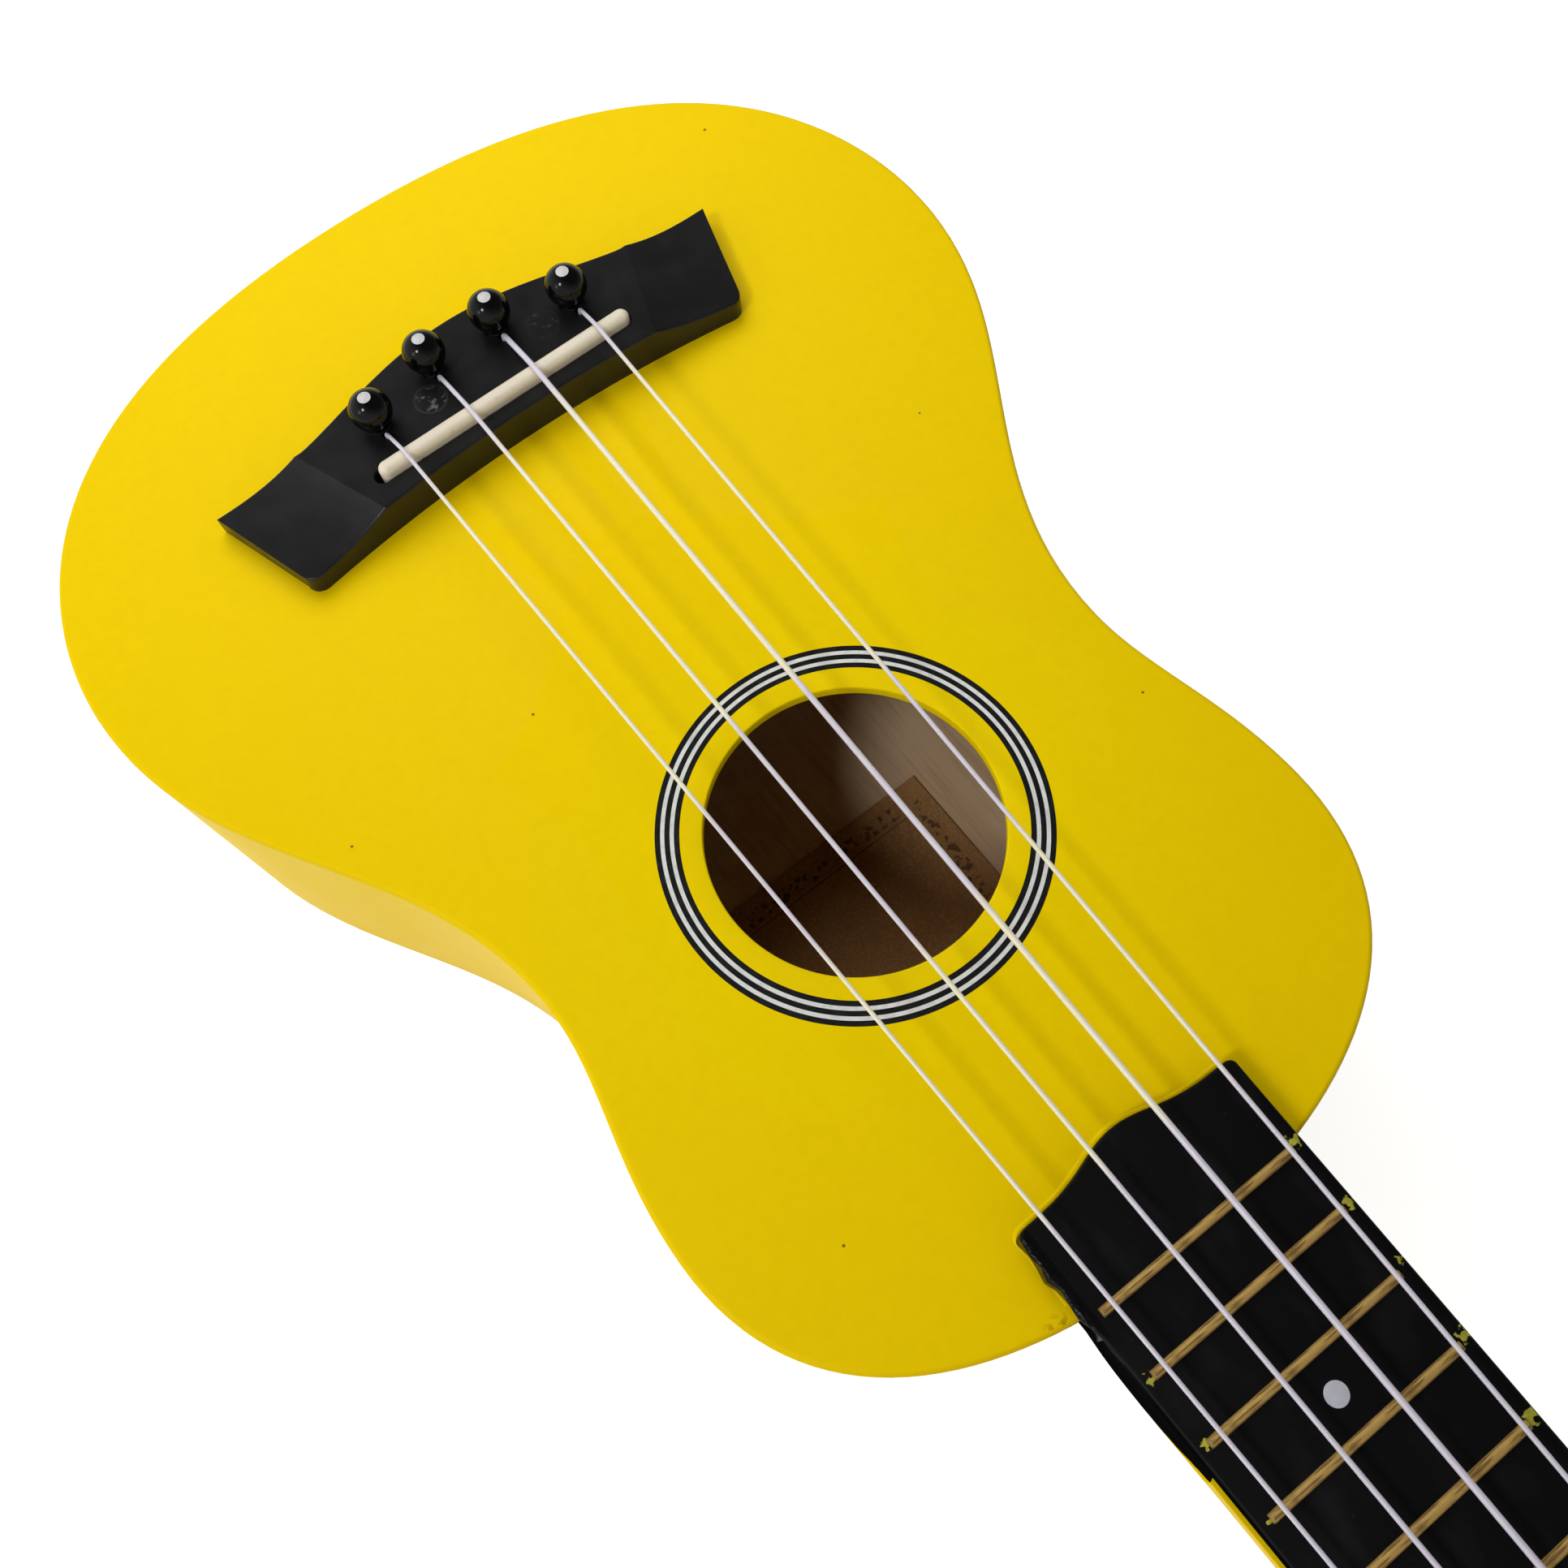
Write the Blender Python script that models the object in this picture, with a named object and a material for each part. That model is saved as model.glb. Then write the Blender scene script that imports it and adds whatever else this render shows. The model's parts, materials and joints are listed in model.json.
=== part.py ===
"""A soprano ukulele: hollow body, neck with a tilted head, bolted-on open-gear tuners.

Sizes are in metres. The instrument lies on its back: +Z is up, out of the soundboard,
+Y runs along the neck to the head, and +X is the side of the first (A) string.
The origin is under the middle of the overall length, on the plane that the back lies on.
"""

import math

import bmesh
import bpy
from mathutils import Matrix, Vector

# Fits between pieces
CLEARANCE = 0.0003
CUT_MARGIN = 0.002

# Body outline, seen from the front. Distances run along the body from the tail.
BODY_LENGTH = 0.2355
LOWER_BOUT_WIDTH = 0.1750
WAIST_WIDTH = 0.1100
UPPER_BOUT_WIDTH = 0.1220
TAIL_TO_LOWER_BOUT = 0.0630
TAIL_TO_WAIST = 0.1520
TAIL_TO_UPPER_BOUT = 0.1930
TAIL_ROUND = 0.0725
LOWER_BOUT_TAIL_ROUND = 0.0235
LOWER_BOUT_WAIST_ROUND = 0.0375
WAIST_TAIL_ROUND = 0.0355
WAIST_NECK_ROUND = 0.0130
UPPER_BOUT_WAIST_ROUND = 0.0170
UPPER_BOUT_NECK_ROUND = 0.0310
SHOULDER_ROUND = 0.0320
OUTLINE_STEPS = (12, 8, 7, 9)

# Body shell
BODY_DEPTH = 0.0580
SOUNDBOARD_THICKNESS = 0.0022
BACK_THICKNESS = 0.0024
SIDE_THICKNESS = 0.0020
EDGE_ROUND = 0.0010
SOUNDHOLE_DIAMETER = 0.0484
TAIL_TO_SOUNDHOLE = 0.1565

# Inside the body
LINING_WIDTH = 0.0045
LINING_HEIGHT = 0.0060
NECK_BLOCK_WIDTH = 0.0460
NECK_BLOCK_LENGTH = 0.0200
TAIL_BLOCK_WIDTH = 0.0440
TAIL_BLOCK_LENGTH = 0.0110
BRACE_WIDTH = 0.0060
BRACE_HEIGHT = 0.0085
BRACE_END_HEIGHT = 0.0030
BRACE_END_LENGTH = 0.0140
UPPER_BRACE_TO_NECK = 0.0420
LOWER_BRACE_TO_SOUNDHOLE = 0.0355
UPPER_BACK_BRACE_TO_NECK = 0.0375
TAIL_TO_LOWER_BACK_BRACE = 0.0860
BRIDGE_PLATE_LENGTH = 0.0360
BRIDGE_PLATE_WIDTH = 0.0900
BRIDGE_PLATE_THICKNESS = 0.0025
LABEL_WIDTH = 0.0550
LABEL_LENGTH = 0.0460
LABEL_THICKNESS = 0.0003
LABEL_TO_BACK_BRACE = 0.0085

# Scale and strings
SCALE_LENGTH = 0.3450
COMPENSATION = 0.0031
TAIL_TO_SADDLE = 0.0587
STRING_NAMES = ("g", "c", "e", "a")
STRING_DIAMETERS = {"g": 0.00076, "c": 0.00102, "e": 0.00081, "a": 0.00071}
SADDLE_STRING_SPACING = 0.0134
NUT_STRING_SPACING = 0.0086
STRING_TAIL = 0.0030
BEND_LENGTH = 0.0010
STRING_SLOT_PLAY = 0.00035

# Fingerboard, frets and markers
BOARD_THICKNESS = 0.0035
BOARD_WIDTH_AT_NUT = 0.0350
BOARD_WIDTH_AT_TWELFTH = 0.0404
BOARD_OVER_BODY = 0.0150
BOARD_TONGUE = 0.0030
BOARD_TONGUE_HALF_WIDTH = 0.0087
BOARD_CORNER_ROUND = 0.0012
BOARD_EDGE_ROUND = 0.0005
FRET_COUNT = 12
FRET_WIDTH = 0.0015
FRET_HEIGHT = 0.0009
FRET_INSET = 0.0020
TANG_DEPTH = 0.0010
MARKED_FRETS = (5, 7, 10)
MARKER_DIAMETER = 0.0036
MARKER_THICKNESS = 0.0010

# Nut
NUT_THICKNESS = 0.0045
NUT_RISE_OVER_FRETS = 0.0004
NUT_SHOULDER = 0.0004

# Neck and heel
NECK_MARGIN = 0.0004
NECK_DEPTH_AT_NUT = 0.0130
NECK_DEPTH_AT_HEEL = 0.0150
HEEL_DEPTH = 0.0510
HEEL_LENGTH = 0.0420
HEEL_SWEEP = 2.4
NECK_FULLNESS = 2.8
HEEL_FULLNESS = 1.45

# Head
HEAD_LENGTH = 0.0950
HEAD_TILT = math.radians(10)
HEAD_THICKNESS = 0.0110
HEAD_STEP = 0.0002
HEAD_WIDTH_LOW = 0.0520
HEAD_WIDTH_HIGH = 0.0550
HEAD_EDGE_ROUND = 0.0010
HEAD_FLARE_LENGTH = 0.0180
HEAD_CREST = 0.0050
HEAD_FULLNESS = 24.0
HEAD_SLAB_START = 0.0110
VOLUTE_BEFORE = 0.0100
VOLUTE_AFTER = 0.0160

# Bridge. Distances run from the saddle, towards the neck where positive.
BRIDGE_HEIGHT = 0.0070
BRIDGE_WING_HEIGHT = 0.0040
BRIDGE_FRONT_WIDTH = 0.0926
BRIDGE_TAIL_WIDTH = 0.1044
BRIDGE_FRONT_BREAK = 0.0564
BRIDGE_TAIL_BREAK = 0.0704
BRIDGE_FRONT = 0.0045
BRIDGE_FRONT_CURVE = 0.0039
BRIDGE_BACK = 0.0132
BRIDGE_BELLY = 0.0070
BRIDGE_BELLY_WIDTH = 0.0680
BRIDGE_CORNER_ROUND = 0.0030
BRIDGE_EDGE_ROUND = 0.0005
BRIDGE_SCOOP = 2.6
BRIDGE_STATIONS_CENTRE = 10
BRIDGE_STATIONS_WING = 8

# Saddle
SADDLE_LENGTH = 0.0520
SADDLE_THICKNESS = 0.0030
SADDLE_RISE = 0.0021
SADDLE_SLOT_DEPTH = 0.0040
SADDLE_SLOT_SPARE = 0.0010

# Bridge pins
PIN_SPACING = 0.0136
PIN_TO_SADDLE_OUTER = 0.0094
PIN_TO_SADDLE_INNER = 0.0136
PIN_HEAD_DIAMETER = 0.0075
PIN_COLLAR_DIAMETER = 0.0050
PIN_COLLAR_HEIGHT = 0.0012
PIN_TOP_DIAMETER = 0.0044
PIN_TIP_DIAMETER = 0.0036
PIN_LENGTH = 0.0170
PIN_SIDES = 14

# Tuners. In the head's own frame: x across, v along the head, w out of its face.
POST_SIDE = 0.0155
NEAR_POST = 0.0260
POST_PITCH = 0.0350
POST_DIAMETER = 0.0060
POST_WAIST_DIAMETER = 0.0054
POST_HEIGHT = 0.0130
POST_HOLE_DIAMETER = 0.0018
POST_HOLE_HEIGHT = 0.0095
POST_SIDES = 12
WRAP_HEIGHT = 0.0032
WRAP_TURNS = 0.5
WINDING_STEP_OVER = 0.0008
WINDING_TURNS = 2.2
WINDING_POINTS_PER_TURN = 24
FERRULE_SLEEVE_DIAMETER = 0.0080
FERRULE_SLEEVE_LENGTH = 0.0060
FERRULE_FLANGE_DIAMETER = 0.0105
FERRULE_FLANGE_THICKNESS = 0.0012
TUNER_PLATE_LENGTH = 0.0280
TUNER_PLATE_WIDTH = 0.0122
TUNER_PLATE_THICKNESS = 0.0010
TUNER_SCREW_SPACING = 0.0220
TUNER_SCREW_SHANK = 0.0018
TUNER_SCREW_LENGTH = 0.0070
TUNER_SCREW_HEAD = 0.0040
TUNER_SCREW_HEAD_HEIGHT = 0.0010
EAR_THICKNESS = 0.0010
EAR_WALL = 0.0011

# Worm and gear
GEAR_TEETH = 14
GEAR_PITCH_RADIUS = 0.0045
GEAR_THICKNESS = 0.0026
WORM_OUTER_RADIUS = 0.00275
WORM_CORE_RADIUS = 0.0013
WORM_TURNS = 3.1
WORM_STEPS_PER_TURN = 12
WORM_CREST_HALF = 0.00018
WORM_ROOT_HALF = 0.00048
TOOTH_TIP_HALF = 0.00020
TOOTH_ROOT_HALF = 0.00050
WORM_COLLAR_RADIUS = 0.0020
WORM_COLLAR_LENGTH = 0.0009
SPIGOT_SIDE = 0.0032
GEAR_SCREW_HEAD = 0.0050
GEAR_SCREW_HEAD_HEIGHT = 0.0012

# Tuning buttons
BUTTON_LENGTH = 0.0150
BUTTON_WIDTH = 0.0166
BUTTON_THICKNESS = 0.0070
BUTTON_NECK_DIAMETER = 0.0054
BUTTON_HEAD_GAP = 0.0012
BUTTON_SOCKET_DEPTH = 0.0060
BUTTON_SIDES = 12

# Places that follow from the sizes above
OVERALL_LENGTH = (TAIL_TO_SADDLE + SCALE_LENGTH + COMPENSATION + NUT_THICKNESS
                  + HEAD_LENGTH * math.cos(HEAD_TILT) - HEAD_EDGE_ROUND * math.sin(HEAD_TILT))
TAIL_Y = -OVERALL_LENGTH / 2
SADDLE_Y = TAIL_Y + TAIL_TO_SADDLE
NUT_FRONT_Y = SADDLE_Y + SCALE_LENGTH + COMPENSATION
HEAD_Y = NUT_FRONT_Y + NUT_THICKNESS
SOUNDHOLE_Y = TAIL_Y + TAIL_TO_SOUNDHOLE
NECK_JOINT_Y = TAIL_Y + BODY_LENGTH
INNER_INSET = SIDE_THICKNESS + CLEARANCE
LINING_INSET = INNER_INSET + LINING_WIDTH + CLEARANCE
CAVITY_FLOOR_Z = BACK_THICKNESS + CLEARANCE
SOUNDBOARD_UNDER_Z = BODY_DEPTH - SOUNDBOARD_THICKNESS
CAVITY_TOP_Z = SOUNDBOARD_UNDER_Z - CLEARANCE
BOARD_UNDER_Z = BODY_DEPTH + CLEARANCE
BOARD_TOP_Z = BOARD_UNDER_Z + BOARD_THICKNESS
FRET_TOP_Z = BOARD_TOP_Z + FRET_HEIGHT
BRIDGE_UNDER_Z = BODY_DEPTH + CLEARANCE
BRIDGE_TOP_Z = BRIDGE_UNDER_Z + BRIDGE_HEIGHT
SADDLE_TOP_Z = BRIDGE_TOP_Z + SADDLE_RISE
BRIDGE_PLATE_TOP_Z = CAVITY_TOP_Z
BRIDGE_PLATE_UNDER_Z = BRIDGE_PLATE_TOP_Z - BRIDGE_PLATE_THICKNESS
NUT_SLOT_FLOOR_Z = FRET_TOP_Z + NUT_RISE_OVER_FRETS
FAR_POST = NEAR_POST + POST_PITCH
WORM_LEAD = 2 * math.pi * GEAR_PITCH_RADIUS / GEAR_TEETH
WORM_PITCH_RADIUS = (WORM_OUTER_RADIUS + WORM_CORE_RADIUS) / 2
GEAR_CENTRE_DISTANCE = GEAR_PITCH_RADIUS + WORM_PITCH_RADIUS
GEAR_TIP_RADIUS = GEAR_CENTRE_DISTANCE - WORM_CORE_RADIUS - CLEARANCE
GEAR_ROOT_RADIUS = GEAR_CENTRE_DISTANCE - WORM_OUTER_RADIUS - CLEARANCE
PLATE_TOP_W = -HEAD_THICKNESS - CLEARANCE
PLATE_UNDER_W = PLATE_TOP_W - TUNER_PLATE_THICKNESS
WORM_W = PLATE_UNDER_W - CLEARANCE - WORM_OUTER_RADIUS
GEAR_TOP_W = WORM_W + GEAR_THICKNESS / 2
GEAR_UNDER_W = WORM_W - GEAR_THICKNESS / 2
WORM_HALF_LENGTH = WORM_TURNS * WORM_LEAD / 2
EAR_INNER_X = WORM_HALF_LENGTH + CLEARANCE
EAR_OUTER_X = EAR_INNER_X + EAR_THICKNESS
EAR_RADIUS = WORM_CORE_RADIUS + CLEARANCE + EAR_WALL
COLLAR_INNER_X = EAR_OUTER_X + CLEARANCE
COLLAR_OUTER_X = COLLAR_INNER_X + WORM_COLLAR_LENGTH
BUTTON_START_X = HEAD_WIDTH_HIGH / 2 - POST_SIDE + BUTTON_HEAD_GAP
WORM_END_X = BUTTON_START_X + BUTTON_SOCKET_DEPTH - CLEARANCE
POST_UNDER_W = GEAR_UNDER_W - CLEARANCE - GEAR_SCREW_HEAD_HEIGHT / 4

MATERIALS = {
    "yellow_paint": ((0.86, 0.66, 0.003), 0.42, 0.0),
    "bare_wood": ((0.52, 0.36, 0.20), 0.75, 0.0),
    "black_paint": ((0.012, 0.012, 0.013), 0.45, 0.0),
    "black_plastic": ((0.015, 0.015, 0.016), 0.35, 0.0),
    "gloss_black": ((0.008, 0.008, 0.009), 0.12, 0.0),
    "ivory_plastic": ((0.80, 0.74, 0.62), 0.35, 0.0),
    "fret_brass": ((0.55, 0.38, 0.15), 0.40, 0.6),
    "marker_white": ((0.62, 0.62, 0.68), 0.30, 0.0),
    "nylon": ((0.78, 0.76, 0.74), 0.30, 0.0),
    "nickel": ((0.62, 0.61, 0.58), 0.22, 1.0),
    "brass": ((0.70, 0.50, 0.20), 0.28, 1.0),
    "label_paper": ((0.50, 0.38, 0.24), 0.85, 0.0),
}


# Scene and mesh helpers

def clear_scene():
    for old in list(bpy.data.objects):
        bpy.data.objects.remove(old, do_unlink=True)


def make_materials():
    for name, (colour, roughness, metallic) in MATERIALS.items():
        material = bpy.data.materials.new(name)
        material.use_nodes = True
        shader = material.node_tree.nodes["Principled BSDF"]
        shader.inputs["Base Color"].default_value = (*colour, 1.0)
        shader.inputs["Roughness"].default_value = roughness
        shader.inputs["Metallic"].default_value = metallic
        material.diffuse_color = (*colour, 1.0)


def solid(name, points, faces, smooth_angle=math.radians(38)):
    """A mesh of closed bodies with outward faces, smooth across its shallow edges."""
    work = bmesh.new()
    corners = [work.verts.new(point) for point in points]
    for face in faces:
        work.faces.new([corners[index] for index in face])
    bmesh.ops.recalc_face_normals(work, faces=work.faces)
    mesh = bpy.data.meshes.new(name)
    work.to_mesh(mesh)
    work.free()
    mesh.shade_smooth()
    mesh.set_sharp_from_angle(angle=smooth_angle)
    return mesh


def place(name, mesh, material, matrix=None):
    """Show a mesh as the object of that name, at a place in the world."""
    shown = bpy.data.objects.new(name, mesh)
    if not mesh.materials:
        mesh.materials.append(bpy.data.materials[material])
    bpy.context.collection.objects.link(shown)
    if matrix is not None:
        shown.matrix_world = matrix
    return shown


def cutter(name, mesh, matrix=None):
    """A helper object that only cuts or joins others."""
    helper = bpy.data.objects.new(name, mesh)
    bpy.context.collection.objects.link(helper)
    helper.hide_render = True
    helper.display_type = "WIRE"
    if matrix is not None:
        helper.matrix_world = matrix
    return helper


def boolean(target, helper, operation="DIFFERENCE"):
    modifier = target.modifiers.new(helper.name, "BOOLEAN")
    modifier.operation = operation
    modifier.solver = "EXACT"
    modifier.object = helper


def worked_mesh(name, blank, steps):
    """The mesh that comes of a blank after Boolean steps, for pieces made several times."""
    shape = bpy.data.objects.new(name, blank)
    bpy.context.collection.objects.link(shape)
    helpers = []
    for operation, mesh in steps:
        helper = cutter(f"{name}_{len(helpers)}", mesh)
        boolean(shape, helper, operation)
        helpers.append(helper)
    bpy.context.view_layer.update()
    graph = bpy.context.evaluated_depsgraph_get()
    made = bpy.data.meshes.new_from_object(shape.evaluated_get(graph))
    for used in (shape, *helpers):
        bpy.data.objects.remove(used, do_unlink=True)
    made.name = name
    made.shade_smooth()
    made.set_sharp_from_angle(angle=math.radians(38))
    return made


def rings_to_faces(ring_count, ring_size):
    """Quads between rings of points, with a flat cap at each end."""
    faces = []
    for ring in range(ring_count - 1):
        low = ring * ring_size
        high = low + ring_size
        for side in range(ring_size):
            after = (side + 1) % ring_size
            faces.append((low + side, low + after, high + after, high + side))
    faces.append(tuple(range(ring_size)))
    last = (ring_count - 1) * ring_size
    faces.append(tuple(range(last, last + ring_size)))
    return faces


def loft(name, rings, smooth_angle=math.radians(38)):
    """A closed body through rings that have as many points each."""
    points = [point for ring in rings for point in ring]
    return solid(name, points, rings_to_faces(len(rings), len(rings[0])), smooth_angle)


def prism(name, outline, low, high):
    """An outline in the XY plane, extruded from one height to another."""
    return loft(name, [[(x, y, low) for x, y in outline], [(x, y, high) for x, y in outline]])


def joined(name, meshes):
    """Several separate bodies as one mesh, for a cutter."""
    work = bmesh.new()
    for mesh in meshes:
        work.from_mesh(mesh)
    mesh = bpy.data.meshes.new(name)
    work.to_mesh(mesh)
    work.free()
    return mesh


def circle(radius, sides, centre=(0.0, 0.0), turn=0.0):
    """Points round a circle in the XY plane."""
    angles = (turn + 2 * math.pi * side / sides for side in range(sides))
    return [(centre[0] + radius * math.cos(a), centre[1] + radius * math.sin(a)) for a in angles]


def cylinder(name, radius, low, high, sides, centre=(0.0, 0.0)):
    return prism(name, circle(radius, sides, centre), low, high)


def turned(name, profile, sides):
    """A body turned about Z from (radius, height) points that start and end on the axis."""
    points = [(0.0, 0.0, profile[0][1])]
    for radius, height in profile[1:-1]:
        points += [(x, y, height) for x, y in circle(radius, sides)]
    points.append((0.0, 0.0, profile[-1][1]))
    faces = []
    for side in range(sides):
        after = (side + 1) % sides
        faces.append((0, 1 + after, 1 + side))
        for ring in range(len(profile) - 3):
            low = 1 + ring * sides
            high = low + sides
            faces.append((low + side, low + after, high + after, high + side))
        last = 1 + (len(profile) - 3) * sides
        faces.append((len(points) - 1, last + side, last + after))
    return solid(name, points, faces)


def stadium(length, width, steps):
    """A slot outline along X with round ends."""
    radius = width / 2
    reach = length / 2 - radius
    right = [-math.pi / 2 + math.pi * step / steps for step in range(steps + 1)]
    points = [(reach + radius * math.cos(a), radius * math.sin(a)) for a in right]
    return points + [(-x, -y) for x, y in points]


def tube(name, points, diameter, material, bevel_resolution, matrix=None):
    """A string: an open polyline with a round section and filled ends."""
    curve = bpy.data.curves.new(name, "CURVE")
    curve.dimensions = "3D"
    curve.bevel_depth = diameter / 2
    curve.bevel_resolution = bevel_resolution
    curve.use_fill_caps = True
    spline = curve.splines.new("POLY")
    spline.points.add(len(points) - 1)
    for point, place_at in zip(spline.points, points):
        point.co = (*place_at, 1.0)
    spline.use_smooth = True
    curve.materials.append(bpy.data.materials[material])
    shown = bpy.data.objects.new(name, curve)
    bpy.context.collection.objects.link(shown)
    if matrix is not None:
        shown.matrix_world = matrix
    return shown


def bezier(p0, p1, p2, p3, steps):
    """Points along a cubic curve, without its last."""
    points = []
    for step in range(steps):
        t = step / steps
        s = 1 - t
        points.append(tuple(s ** 3 * a + 3 * s * s * t * b + 3 * s * t * t * c + t ** 3 * d
                            for a, b, c, d in zip(p0, p1, p2, p3)))
    return points


def inset(outline, distance):
    """A closed outline moved inwards, with its corners mitred. It runs anticlockwise."""
    shrunk = []
    for index, point in enumerate(outline):
        here = Vector(point)
        before = (here - Vector(outline[index - 1])).normalized()
        after = (Vector(outline[(index + 1) % len(outline)]) - here).normalized()
        inward_a = Vector((-before.y, before.x))
        inward_b = Vector((-after.y, after.x))
        mitre = (inward_a + inward_b) / (1 + inward_a.dot(inward_b))
        shrunk.append(tuple(here + mitre * distance))
    return shrunk


def rounded_slab(name, outline, low, high, low_round, high_round, steps=2):
    """An extruded outline with its lower or upper rim rounded over."""
    levels = [(0.0, low), (0.0, high)]
    if low_round:
        levels = round_levels(low, low_round, steps, 1) + levels[1:]
    if high_round:
        levels = levels[:-1] + round_levels(high, high_round, steps, -1)
    rings = []
    for distance, height in levels:
        ring = inset(outline, distance) if distance else outline
        rings.append([(x, y, height) for x, y in ring])
    return loft(name, rings, math.radians(50))


def round_levels(face, radius, steps, inward):
    """(inset, height) pairs up a quarter round that starts at a face."""
    pairs = []
    for step in range(steps + 1):
        angle = math.pi / 2 * step / steps
        pairs.append((radius * (1 - math.sin(angle)), face + inward * radius * (1 - math.cos(angle))))
    return pairs if inward > 0 else pairs[::-1]


# Body

def half_outline():
    """The right half of the body's outline, from the tail to the neck."""
    lower = LOWER_BOUT_WIDTH / 2
    waist = WAIST_WIDTH / 2
    upper = UPPER_BOUT_WIDTH / 2
    runs = (
        ((0, 0), (TAIL_ROUND, 0),
         (lower, TAIL_TO_LOWER_BOUT - LOWER_BOUT_TAIL_ROUND), (lower, TAIL_TO_LOWER_BOUT)),
        ((lower, TAIL_TO_LOWER_BOUT), (lower, TAIL_TO_LOWER_BOUT + LOWER_BOUT_WAIST_ROUND),
         (waist, TAIL_TO_WAIST - WAIST_TAIL_ROUND), (waist, TAIL_TO_WAIST)),
        ((waist, TAIL_TO_WAIST), (waist, TAIL_TO_WAIST + WAIST_NECK_ROUND),
         (upper, TAIL_TO_UPPER_BOUT - UPPER_BOUT_WAIST_ROUND), (upper, TAIL_TO_UPPER_BOUT)),
        ((upper, TAIL_TO_UPPER_BOUT), (upper, TAIL_TO_UPPER_BOUT + UPPER_BOUT_NECK_ROUND),
         (SHOULDER_ROUND, BODY_LENGTH), (0, BODY_LENGTH)),
    )
    points = []
    for run, steps in zip(runs, OUTLINE_STEPS):
        points += bezier(*run, steps)
    points.append((0, BODY_LENGTH))
    return [(x, TAIL_Y + distance) for x, distance in points]


def body_outline(distance=0.0):
    """The whole outline, anticlockwise from the tail, moved inwards by a distance."""
    right = half_outline()
    left = [(-x, y) for x, y in reversed(right[1:-1])]
    whole = right + left
    return inset(whole, distance) if distance else whole


def right_half(distance):
    """The right half of the moved outline, tail to neck."""
    return body_outline(distance)[:len(half_outline())]


def half_width_at(y, distance):
    """The moved outline's half width at a place along the body."""
    points = right_half(distance)
    crossings = [0.0]
    for (xa, ya), (xb, yb) in zip(points, points[1:]):
        if min(ya, yb) <= y <= max(ya, yb) and ya != yb:
            crossings.append(xa + (xb - xa) * (y - ya) / (yb - ya))
    return max(crossings)


def end_y_at(x, distance, at_neck):
    """Where the moved outline's tail or neck end lies, at a place across the body."""
    points = right_half(distance)
    if at_neck:
        points = points[::-1]
    for (xa, ya), (xb, yb) in zip(points, points[1:]):
        if xa <= abs(x) <= xb:
            return ya + (yb - ya) * (abs(x) - xa) / (xb - xa)
    return points[0][1]


def pin_places():
    """(x, y) of each bridge pin, from the bass side."""
    places = {}
    for index, name in enumerate(STRING_NAMES):
        across = index - (len(STRING_NAMES) - 1) / 2
        outer = index in (0, len(STRING_NAMES) - 1)
        back = PIN_TO_SADDLE_OUTER if outer else PIN_TO_SADDLE_INNER
        places[name] = (across * PIN_SPACING, SADDLE_Y - back)
    return places


def string_hole_y(name):
    """Where a string comes up through the bridge, just in front of its pin's collar."""
    gap = PIN_COLLAR_DIAMETER / 2 + CLEARANCE + STRING_DIAMETERS[name] / 2
    return pin_places()[name][1] + gap


def pin_cutters():
    """Cutters for the pin holes and for the string slots in front of them."""
    low = BRIDGE_PLATE_UNDER_Z - CUT_MARGIN
    high = BRIDGE_TOP_Z + CUT_MARGIN
    holes = []
    slots = []
    for name, (x, y) in pin_places().items():
        radius = PIN_TOP_DIAMETER / 2 + CLEARANCE
        holes.append(cylinder("pin_hole", radius, low, high, 12, (x, y)))
        half = STRING_DIAMETERS[name] / 2 + STRING_SLOT_PLAY
        reach = string_hole_y(name) + half - y
        slot = stadium(2 * reach, 2 * half, 3)
        front = [(x - across, y + along) for along, across in slot if along > reach / 2]
        back = [(x - half, y), (x + half, y)]
        slots.append(prism("string_slot", back + front, low - CUT_MARGIN, high + CUT_MARGIN))
    return cutter("cut_pin_holes", joined("pin_holes", holes)), \
        cutter("cut_string_slots", joined("string_slots", slots))


def build_soundboard(pin_holes, string_slots):
    mesh = rounded_slab("soundboard", body_outline(), SOUNDBOARD_UNDER_Z, BODY_DEPTH,
                        0.0, EDGE_ROUND, 1)
    board = place("soundboard", mesh, "yellow_paint")
    hole = cylinder("soundhole", SOUNDHOLE_DIAMETER / 2, SOUNDBOARD_UNDER_Z - CUT_MARGIN,
                    BODY_DEPTH + CUT_MARGIN, 48, (0.0, SOUNDHOLE_Y))
    boolean(board, cutter("cut_soundhole", hole))
    boolean(board, pin_holes)
    boolean(board, string_slots)


def build_back():
    mesh = rounded_slab("back_plate", body_outline(), 0.0, BACK_THICKNESS, EDGE_ROUND,
                        0.0, 1)
    place("back_plate", mesh, "yellow_paint")


def ribbon(name, outer, inner, low, high):
    """A wall between two lines that run side by side, from one height to another."""
    rings = []
    for (xo, yo), (xi, yi) in zip(outer, inner):
        rings.append([(xo, yo, low), (xo, yo, high), (xi, yi, high), (xi, yi, low)])
    return loft(name, rings)


def build_sides():
    """Each side is one bent strip, butted to the other at the tail and the neck."""
    seam = CLEARANCE / 2
    outer = [(max(x, seam), y) for x, y in right_half(0.0)]
    inner = [(max(x, seam), y) for x, y in right_half(SIDE_THICKNESS)]
    for name, hand in (("side_treble", 1), ("side_bass", -1)):
        mesh = ribbon(name, [(hand * x, y) for x, y in outer],
                      [(hand * x, y) for x, y in inner], CAVITY_FLOOR_Z, CAVITY_TOP_Z)
        place(name, mesh, "yellow_paint")


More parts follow.
